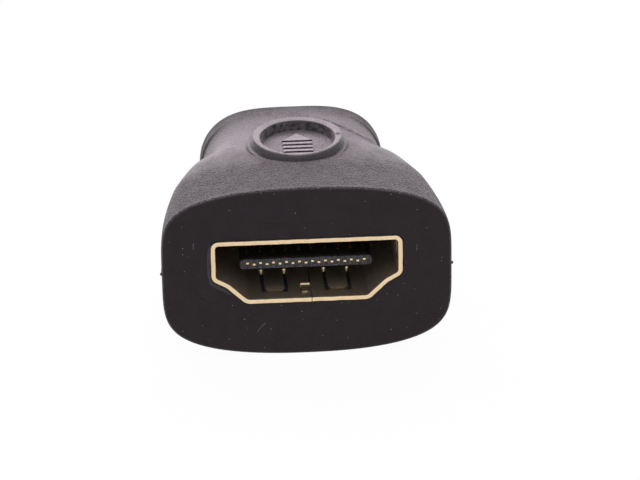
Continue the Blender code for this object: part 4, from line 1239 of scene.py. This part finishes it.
class ADAPTER_OT_rubber_seams(bpy.types.Operator):
    """Lay the parting line's flash, the rubber that crept out at the shell, and the scuffs"""

    bl_idname = "adapter.rubber_seams"
    bl_label = "Flash and scuffs"

    def execute(self, context):
        finish = bpy.data.materials["black_rubber"]
        steps = [FLASH_LENGTH * k / (FLASH_POINTS - 1) for k in range(FLASH_POINTS)]
        distances = [(FLASH_START + step) * MM for step in steps]
        flash = [
            [(side * (body_half_width(s) - edge_inset(s)), FACE + s, PARTING_HEIGHT) for s in distances]
            for side in (-1, 1)
        ]
        beads_along("parting_flash", flash, FLASH_BEAD, finish)

        nubs = bmesh.new()
        for side, behind in NUBS:
            place = Matrix.Translation((side * (FACE_HALF_WIDTH - NUB_SINK), FACE + behind, PARTING_HEIGHT))
            shape = Matrix.Diagonal((*NUB_RADII, 1.0))
            bmesh.ops.create_icosphere(nubs, subdivisions=3, radius=1.0, matrix=place @ shape)
        for vertex in nubs.verts:
            vertex.co += Vector(noise.noise_vector(vertex.co * NUB_LUMPS)) * NUB_ROUGHNESS * MM
        gate = scene_object("gate_nubs", mesh_from("gate_nubs", nubs, math.radians(60.0)))
        dress(gate, finish)

        # Painted light: the crept bead is coloured paler, standing in for light that catches its slope
        crept = scuffed_finish("crept_rubber", (0.04, 0.036, 0.041))
        creep = beads_along("crept_rubber", face_runs([CREEP_RUN], FACE - CREEP_PROUD), CREEP_BEAD, crept)
        for vertex in creep.data.vertices:
            vertex.co.y = FACE + (vertex.co.y - FACE) * CREEP_FLATNESS
        worn = scuffed_finish("scuffed_rubber", (0.13, 0.117, 0.13))
        beads_along("scuffs", face_runs(SCUFF_RUNS), SCUFF_BEAD, worn)
        return {"FINISHED"}


def dust_tree():
    """Rumpled specks scattered over the given mesh, of which nothing else is kept."""
    tree, given = new_geometry_tree("scattered_specks", {"Density": "Float", "Size": "Float", "Seed": "Int"})
    sockets = {"Mesh": given["Geometry"], "Density": given["Density"], "Seed": given["Seed"]}
    spots = tree.add("GeometryNodeDistributePointsOnFaces", sockets).outputs
    grain = tree.first("GeometryNodeMeshIcoSphere", {"Radius": given["Size"], "Subdivisions": 2})
    sockets = {"Seed": given["Seed"], "Min": SPECK_SMALLEST, "Max": SPECK_LARGEST}
    size = tree.first("FunctionNodeRandomValue", sockets, data_type="FLOAT_VECTOR")
    sockets = {"Points": spots["Points"], "Instance": grain, "Rotation": spots["Rotation"], "Scale": size}
    specks = tree.first("GeometryNodeInstanceOnPoints", sockets)
    rumpled = tree.first("GeometryNodeRealizeInstances", {"Geometry": specks})
    wobble = tree.add("ShaderNodeTexNoise", {"Scale": SPECK_RUMPLES}).outputs["Color"]
    centred = tree.vector_math("SUBTRACT", wobble, (0.5, 0.5, 0.5))[0]
    push = tree.first("ShaderNodeVectorMath", {0: centred, "Scale": given["Size"]}, operation="SCALE")
    moved = tree.first("GeometryNodeSetPosition", {"Geometry": rumpled, "Offset": push})
    return close_geometry_tree(tree, moved, given["Material"])


def on_open_skin(point, normal):
    """Whether a face of the rubber lies outside the rooms and passages."""
    margin = 0.1 * MM
    inside = abs(point.x) < CORE_HIGH.x + margin and CORE_LOW.z - margin < point.z < CORE_HIGH.z + margin
    return not inside or normal.y < -0.9 and point.y < FACE + CLOSE


class ADAPTER_OT_dust(bpy.types.Operator):
    """Scatter specks of dust over the rubber"""

    bl_idname = "adapter.dust"
    bl_label = "Dust"

    def execute(self, context):
        settings = context.scene.adapter_dust
        finish = plastic_finish("pale_dust", (0.42, 0.39, 0.42), 0.85, grain=0.02 * MM, contrast=0.35)
        skin = bmesh.new()
        skin.from_mesh(bpy.data.objects["rubber_body"].data)
        hidden = [face for face in skin.faces if not on_open_skin(face.calc_center_median(), face.normal)]
        bmesh.ops.delete(skin, geom=hidden, context="FACES")
        mesh = bpy.data.meshes.new("dust")
        skin.to_mesh(mesh)
        skin.free()
        values = {"Size": settings.size, "Seed": settings.seed, "Material": finish}
        values["Density"] = settings.density / MM ** 2
        dress(grown("dust", mesh, dust_tree(), values, math.radians(60.0)), finish)
        return {"FINISHED"}


# Folded shells


def folded_tube(outline, wall, near, far, both_rims=False):
    """A folded sheet as a closed tube whose near rim, and far rim if asked, is rounded."""
    outer, inner = [], []
    for angle in (0.0, 22.5, 45.0, 67.5, 90.0):
        depth = RIM_RADIUS * (1 - math.cos(math.radians(angle)))
        inset = RIM_RADIUS * (1 - math.sin(math.radians(angle)))
        outer.append((near + depth, -inset))
        inner.append((near + depth, inset - wall))
    stations = [float(y) for y in np.arange(near + RIM_RADIUS + SHEET_STEP, far - SHEET_STEP / 2, SHEET_STEP)]
    end = [(far, 0.0), (far, -wall)]
    if both_rims:
        end = [(near + far - y, distance) for y, distance in outer[::-1] + inner]
    path = inner[::-1] + outer + [(y, 0.0) for y in stations] + end + [(y, -wall) for y in stations[::-1]]
    bm = bmesh.new()
    loops = [[bm.verts.new(point) for point in outline.ring(y, distance)] for y, distance in path]
    bridge(bm, loops + loops[:1])
    return bm


def finger_places():
    """Each spring finger's frame: its own x across, y backwards and z from the wall's outside inwards."""
    places = []
    for x in (-FINGER_SPREAD, FINGER_SPREAD):
        places.append(Matrix.Translation((x, FACE, SHELL_LOW.z)))
        places.append(Matrix.Translation((x, FACE, SHELL_HIGH.z)) @ Matrix.Rotation(math.pi, 4, "Y"))
    for side in (-1, 1):
        place = Matrix.Translation((side * SHELL_HIGH.x, FACE, SHELL_HIGH.z - SIDE_FINGER_DROP))
        places.append(place @ Matrix.Rotation(-side * math.pi / 2, 4, "Y"))
    return places


def finger_slots():
    """Cutters for the U-shaped slots round the spring fingers, with round far ends."""
    inner = FINGER_WIDTH / 2
    outer = inner + FINGER_SLOT
    end = arc(((inner + outer) / 2, FINGER_ROOT), FINGER_SLOT_END * FINGER_SLOT, *FINGER_SLOT_END_ARC, 12)
    corner = (inner - FINGER_TIP_RADIUS, FINGER_TIP + FINGER_TIP_RADIUS)
    side = [(outer, FINGER_START)] + end + arc(corner, FINGER_TIP_RADIUS, 0, -90, 5)
    outline = side + [(-x, y) for x, y in reversed(side)]
    bm = bmesh.new()
    for place in finger_places():
        rings = []
        for z in (-OVERCUT, SHELL_WALL + OVERCUT):
            lean = FINGER_SLOT_LEAN * (z - SHELL_WALL / 2)
            leaning = [(x, y + lean if y > FINGER_ROOT - OVERCUT else y) for x, y in outline]
            rings.append([place @ Vector((x, y, z)) for x, y in leaning])
        closed_loft(bm, rings)
    return bm


def finger_bend(y):
    """How far inwards a finger stands at y behind the face."""
    if y < FINGER_CREST:
        share = (FINGER_CREST - y) / (FINGER_CREST - FINGER_TIP)
        return (FINGER_DEPTH - FINGER_DEPTH * share ** FINGER_CREST_POWER) * MM
    share = min(max((FINGER_ROOT - y) / (FINGER_ROOT - FINGER_CREST), 0.0), 1.0)
    return FINGER_DEPTH * MM * share * share * (1.0 + FINGER_SPRING - FINGER_SPRING * share)


def bend_fingers(mesh):
    """Push every vertex of the fingers inwards along its finger's own frame."""
    slack = 0.02 * MM
    for place in finger_places():
        back = place.inverted()
        on_side = abs(place.translation.x) > FINGER_SPREAD + CLOSE
        for vertex in mesh.vertices:
            local = back @ vertex.co
            across = abs(local.x) <= FINGER_WIDTH / 2 + 0.1 * CLOSE
            along = FINGER_TIP - CLOSE < local.y < FINGER_ROOT
            if across and along and -slack < local.z < SHELL_WALL + slack:
                local.z += finger_bend(local.y) * (SIDE_FINGER_SHARE if on_side else 1.0)
                vertex.co = place @ local


def seam_cutter():
    """The gap where the sheet's edges meet below, with a key that locks one into the other."""
    path = [Vector((x * MM, FACE + y * MM)) for x, y in SEAM_PATH]
    runs = [(b - a).normalized() for a, b in zip(path, path[1:])]
    left, right = [], []
    for point, before, after in zip(path, runs[:1] + runs, runs + runs[-1:]):
        middle = (before + after).normalized()
        across = Vector((-middle.y, middle.x)) * SEAM_HALF_GAP * MM / max(middle.dot(after), 0.3)
        left.append(point + across)
        right.append(point - across)
    low, high = SHELL_LOW.z - OVERCUT, SHELL_LOW.z + SHELL_WALL + OVERCUT
    return prism([[(p.x, p.y, z) for p in left + right[::-1]] for z in (low, high)])


def key_window():
    """Cutter for the narrow window behind the seam's key, whose far wall leans back."""
    (left, back), (right, _) = SEAM_PATH[3:5]
    left, right = left * MM, right * MM
    near, far = (back + KEY_WINDOW_NEAR) * MM, (back + KEY_WINDOW_FAR) * MM
    rings = []
    for z, lean in ((-OVERCUT, -KEY_WINDOW_LEAN), (SHELL_WALL + OVERCUT, KEY_WINDOW_LEAN)):
        corners = ((left, near), (right, near), (right, far + lean), (left, far + lean))
        rings.append([(x, FACE + y, SHELL_LOW.z + z) for x, y in corners])
    return prism(rings)


def lift_key(mesh):
    """Stand the key proud of the floor that it locks into, most of all in front."""
    (root, _), (tip, front), (_, rear) = SEAM_PATH[1:4]
    for vertex in mesh.vertices:
        x, y = vertex.co.x / MM, (vertex.co.y - FACE) / MM
        below = vertex.co.z < SHELL_LOW.z + SHELL_WALL + CLOSE
        if below and tip < x < root - KEY_ROOT and front + KEY_MARGIN < y < rear - KEY_MARGIN:
            vertex.co.z += KEY_LIFT * min((root - x) / KEY_RAMP, 1.0) * ((rear - y) / (rear - front))


def sheet_faces(polygon):
    """Cut edges of a folded sheet face along it, and its walls face across it."""
    return 1 if abs(polygon.normal.y) > 0.6 else 0


def sheet_finishes(settings):
    if "plated_sheet" in bpy.data.materials:
        return [bpy.data.materials[name] for name in ("plated_sheet", "sheared_edge")]
    rolled = metal_finish("plated_sheet", tuple(settings.plating), 0.58, 0.07, (1.0, 0.25, 1.0))
    cut_edge = metal_finish("sheared_edge", tuple(settings.sheared), 0.38, 0.08, (3.0, 3.0, 0.5))
    return [rolled, cut_edge]


class ADAPTER_OT_socket_shell(bpy.types.Operator):
    """Fold the socket's shell, with its spring fingers, seam and rounded rim"""

    bl_idname = "adapter.socket_shell"
    bl_label = "Socket shell"

    def execute(self, context):
        finishes = sheet_finishes(context.scene.adapter_metal)
        bm = folded_tube(socket_outline(), SHELL_WALL, SHELL_LOW.y, SHELL_HIGH.y)
        for vertex in bm.verts:
            if vertex.co.y < SHELL_LOW.y + RIM_RADIUS + CLOSE:
                long, short = (noise.noise_vector(vertex.co * waves) for waves in RIM_WAVES)
                drift = long + 0.5 * short
                vertex.co += Vector((drift.x, drift.y * 0.5, drift.z)) * RIM_WAVE * MM
        cut = [finger_slots(), seam_cutter(), key_window()]
        shell = combined(bm, [], cut, "socket_sheet", math.radians(35.0))
        bend_fingers(shell.data)
        lift_key(shell.data)
        dress(shell, finishes, ["socket_shell"], sheet_faces)
        return {"FINISHED"}


class ADAPTER_OT_plug_shell(bpy.types.Operator):
    """Fold the plug's shell with both rims rounded"""

    bl_idname = "adapter.plug_shell"
    bl_label = "Plug shell"

    def execute(self, context):
        metal = context.scene.adapter_metal
        polished = metal_finish("polished_plating", tuple(metal.sheared), 0.3, 0.04)
        bm = folded_tube(plug_outline(), PLUG_WALL, PLUG_LOW.y, PLUG_HIGH.y, both_rims=True)
        plug = scene_object("plug_sheet", mesh_from("plug_sheet", bm, math.radians(35.0)))
        dress(plug, [polished, sheet_finishes(metal)[1]], ["plug_shell"], sheet_faces)
        return {"FINISHED"}


# Tongue and plain pieces


def tongue_tip():
    """The y of the tongue's front end and the z of its middle."""
    points = [vertex.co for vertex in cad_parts["socket_insulator"].data.vertices]
    tip = min(point.y for point in points)
    heights = [point.z for point in points if point.y < tip + 0.01 * MM]
    return tip, (min(heights) + max(heights)) / 2


def rib_tree():
    """Copies of the given mesh in a row."""
    tree, given = new_geometry_tree("ribs_in_a_row", {"Count": "Int", "Start": "Vector", "Step": "Vector"})
    sockets = {"Count": given["Count"], "Start Location": given["Start"], "Offset": given["Step"]}
    row = tree.first("GeometryNodeMeshLine", sockets)
    ribs = tree.first("GeometryNodeInstanceOnPoints", {"Points": row, "Instance": given["Geometry"]})
    return close_geometry_tree(tree, ribs, given["Material"])


class ADAPTER_OT_tongue_ribs(bpy.types.Operator):
    """Set the small ribs between the contacts on the tongue's front end"""

    bl_idname = "adapter.tongue_ribs"
    bl_label = "Tongue ribs"

    def execute(self, context):
        rib = bmesh.new()
        box_into(rib, RIB_LOW, RIB_HIGH)
        bmesh.ops.bevel(rib, geom=rib.edges[:], offset=RIB_BEVEL, segments=2, profile=0.5, affect="EDGES")
        finish = plastic_finish("worn_insulator", (0.032, 0.028, 0.035), 0.45, grain=0.15 * MM, contrast=0.95)
        tip, middle = tongue_tip()
        start = Vector(((1 - RIB_COUNT) / 2 * RIB_PITCH, tip, middle))
        step = Vector((RIB_PITCH, 0.0, 0.0))
        values = {"Count": RIB_COUNT, "Start": start, "Step": step, "Material": finish}
        ribs = grown("tongue_ribs", mesh_from("tongue_ribs", rib), rib_tree(), values, math.radians(40.0))
        dress(ribs, finish)
        return {"FINISHED"}


class ADAPTER_OT_plain_finishes(bpy.types.Operator):
    """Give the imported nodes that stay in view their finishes"""

    bl_idname = "adapter.plain_finishes"
    bl_label = "Finishes"

    def execute(self, context):
        metal = context.scene.adapter_metal
        contact = metal_finish("gold_plated_contact", tuple(metal.contact), 0.28, 0.06)
        insulator = tongue_finish()
        core = plastic_finish("natural_polythene", (0.62, 0.61, 0.56), 0.55, contrast=0.05)
        board = plastic_finish("green_board", (0.03, 0.14, 0.06), 0.35, contrast=0.2)
        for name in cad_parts:
            if "contact" in name:
                finish_node(name, contact)
            elif name.endswith("insulator"):
                finish_node(name, insulator)
        finish_node("inner_mould", core)
        finish_node("circuit_board", board)
        return {"FINISHED"}


# Stage


def add_camera(stage):
    """A long lens above the socket's side, left of the object and turned towards it."""
    e, r = stage.elevation, stage.roll
    back = Vector((0.0, -math.cos(e), math.sin(e)))
    level = Vector((1.0, 0.0, 0.0))
    up = back.cross(level)
    right = level * math.cos(r) + up * math.sin(r)
    up = up * math.cos(r) - level * math.sin(r)
    aside = (FACE_MIDDLE_PIXEL[0] - LENS_AXIS_PIXEL[0]) / PIXELS_PER_MM * MM
    above = (LENS_AXIS_PIXEL[1] - FACE_MIDDLE_PIXEL[1]) / PIXELS_PER_MM * MM
    place = Vector((0.0, FACE, BODY_MIDDLE)) - right * aside - up * above + back * stage.distance
    swing = (PHOTO_WIDTH / 2 - LENS_AXIS_PIXEL[0]) / PIXELS_PER_MM * MM / stage.distance
    back = (back - right * swing).normalized()
    right = up.cross(back).normalized()
    up = back.cross(right)
    camera = bpy.data.cameras.new("camera")
    camera.sensor_width = SENSOR_WIDTH
    camera.lens = PIXELS_PER_MM * stage.distance / MM * SENSOR_WIDTH / PHOTO_WIDTH * math.hypot(1.0, swing)
    camera.clip_start = 1.0 * MM
    obj = scene_object("camera", camera)
    obj.matrix_world = Matrix.Translation(place) @ Matrix((right, up, back)).transposed().to_4x4()
    bpy.context.scene.camera = obj


def add_softbox(name, place, aim, size, power, colour=(1.0, 1.0, 1.0)):
    lamp = bpy.data.lights.new(name, "AREA")
    lamp.shape = "RECTANGLE"
    lamp.size, lamp.size_y = size
    lamp.energy = power
    lamp.color = colour
    obj = scene_object(name, lamp)
    obj.location = place
    obj.rotation_mode = "QUATERNION"
    obj.rotation_quaternion = (Vector(aim) - Vector(place)).to_track_quat("-Z", "Y")


def seen_or_mirrored(tree):
    """1 for rays from the camera, also through or off something clear or glossy, and 0 for the rest."""
    path = tree.add("ShaderNodeLightPath").outputs
    seen = tree.math("MAXIMUM", path["Is Camera Ray"], path["Is Transmission Ray"])
    return tree.math("MAXIMUM", seen, path["Is Glossy Ray"])


def white_backdrop(name, colour):
    """A diffuse surface that the camera and reflections see as plain white."""
    material, tree, shader, _ = new_finish(name)
    shader.inputs["Base Color"].default_value = (*colour, 1.0)
    shader.inputs["Roughness"].default_value = 0.9
    glow = tree.first("ShaderNodeEmission", {"Color": WHITE, "Strength": 1.0})
    share = tree.times(seen_or_mirrored(tree), FLOOR_GLOW)
    mixed = tree.first("ShaderNodeMixShader", {0: share, 1: shader.outputs[0], 2: glow})
    output = next(node for node in tree.tree.nodes if node.type == "OUTPUT_MATERIAL")
    tree.feed(mixed, output.inputs["Surface"])
    return material


def add_world(level):
    world = bpy.data.worlds.new("studio")
    bpy.context.scene.world = world
    world.use_nodes = True
    tree = Tree(world.node_tree)
    dim, white = (tree.first("ShaderNodeBackground", {"Color": WHITE, "Strength": s}) for s in (level, 1.0))
    mixed = tree.first("ShaderNodeMixShader", {0: seen_or_mirrored(tree), 1: dim, 2: white})
    tree.add("ShaderNodeOutputWorld", {"Surface": mixed})


class ADAPTER_OT_stage(bpy.types.Operator):
    """Set up the floor, lights and camera"""

    bl_idname = "adapter.stage"
    bl_label = "Stage"

    def execute(self, context):
        stage = context.scene.adapter_stage
        add_camera(stage)
        add_world(WORLD_LEVEL)
        middle = (0.0, 0.0, BODY_MIDDLE)
        add_softbox("back_softbox", BACK_LAMP_PLACE, middle, BACK_LAMP_SIZE, stage.key, BACK_LAMP_TINT)
        add_softbox("front_softbox", FRONT_LAMP_PLACE, middle, FRONT_LAMP_SIZE, stage.fill)
        bm = bmesh.new()
        bmesh.ops.create_grid(bm, x_segments=1, y_segments=1, size=FLOOR_HALF_SIZE)
        floor = scene_object("floor", mesh_from("floor", bm))
        floor.location.z = CAD_BOX[0].z - FLOOR_DROP
        floor.data.materials.append(white_backdrop("floor_white", FLOOR_TONE))
        context.scene.view_settings.view_transform = "Standard"
        return {"FINISHED"}


class ADAPTER_PT_panel(bpy.types.Panel):
    """The adapter's pieces, in the order in which they are made"""

    bl_label = "Adapter"
    bl_idname = "ADAPTER_PT_panel"
    bl_space_type = "VIEW_3D"
    bl_region_type = "UI"
    bl_category = "Adapter"

    def draw(self, context):
        for operator in OPERATORS:
            self.layout.operator(operator.bl_idname)


SETTINGS = {
    "adapter_rubber": RubberSettings,
    "adapter_metal": MetalSettings,
    "adapter_dust": DustSettings,
    "adapter_stage": StageSettings,
}
OPERATORS = [
    ADAPTER_OT_rubber_body,
    ADAPTER_OT_direction_mark,
    ADAPTER_OT_rubber_seams,
    ADAPTER_OT_dust,
    ADAPTER_OT_socket_shell,
    ADAPTER_OT_plug_shell,
    ADAPTER_OT_tongue_ribs,
    ADAPTER_OT_plain_finishes,
    ADAPTER_OT_stage,
]


def register():
    for name, group in SETTINGS.items():
        bpy.utils.register_class(group)
        setattr(bpy.types.Scene, name, PointerProperty(type=group))
    for operator in OPERATORS:
        bpy.utils.register_class(operator)
    bpy.utils.register_class(ADAPTER_PT_panel)


def unregister():
    bpy.utils.unregister_class(ADAPTER_PT_panel)
    for operator in reversed(OPERATORS):
        bpy.utils.unregister_class(operator)
    for name, group in SETTINGS.items():
        delattr(bpy.types.Scene, name)
        bpy.utils.unregister_class(group)


def main():
    register()
    for operator in OPERATORS:
        group, call = operator.bl_idname.split(".")
        getattr(getattr(bpy.ops, group), call)()


if __name__ == "__main__":
    main()
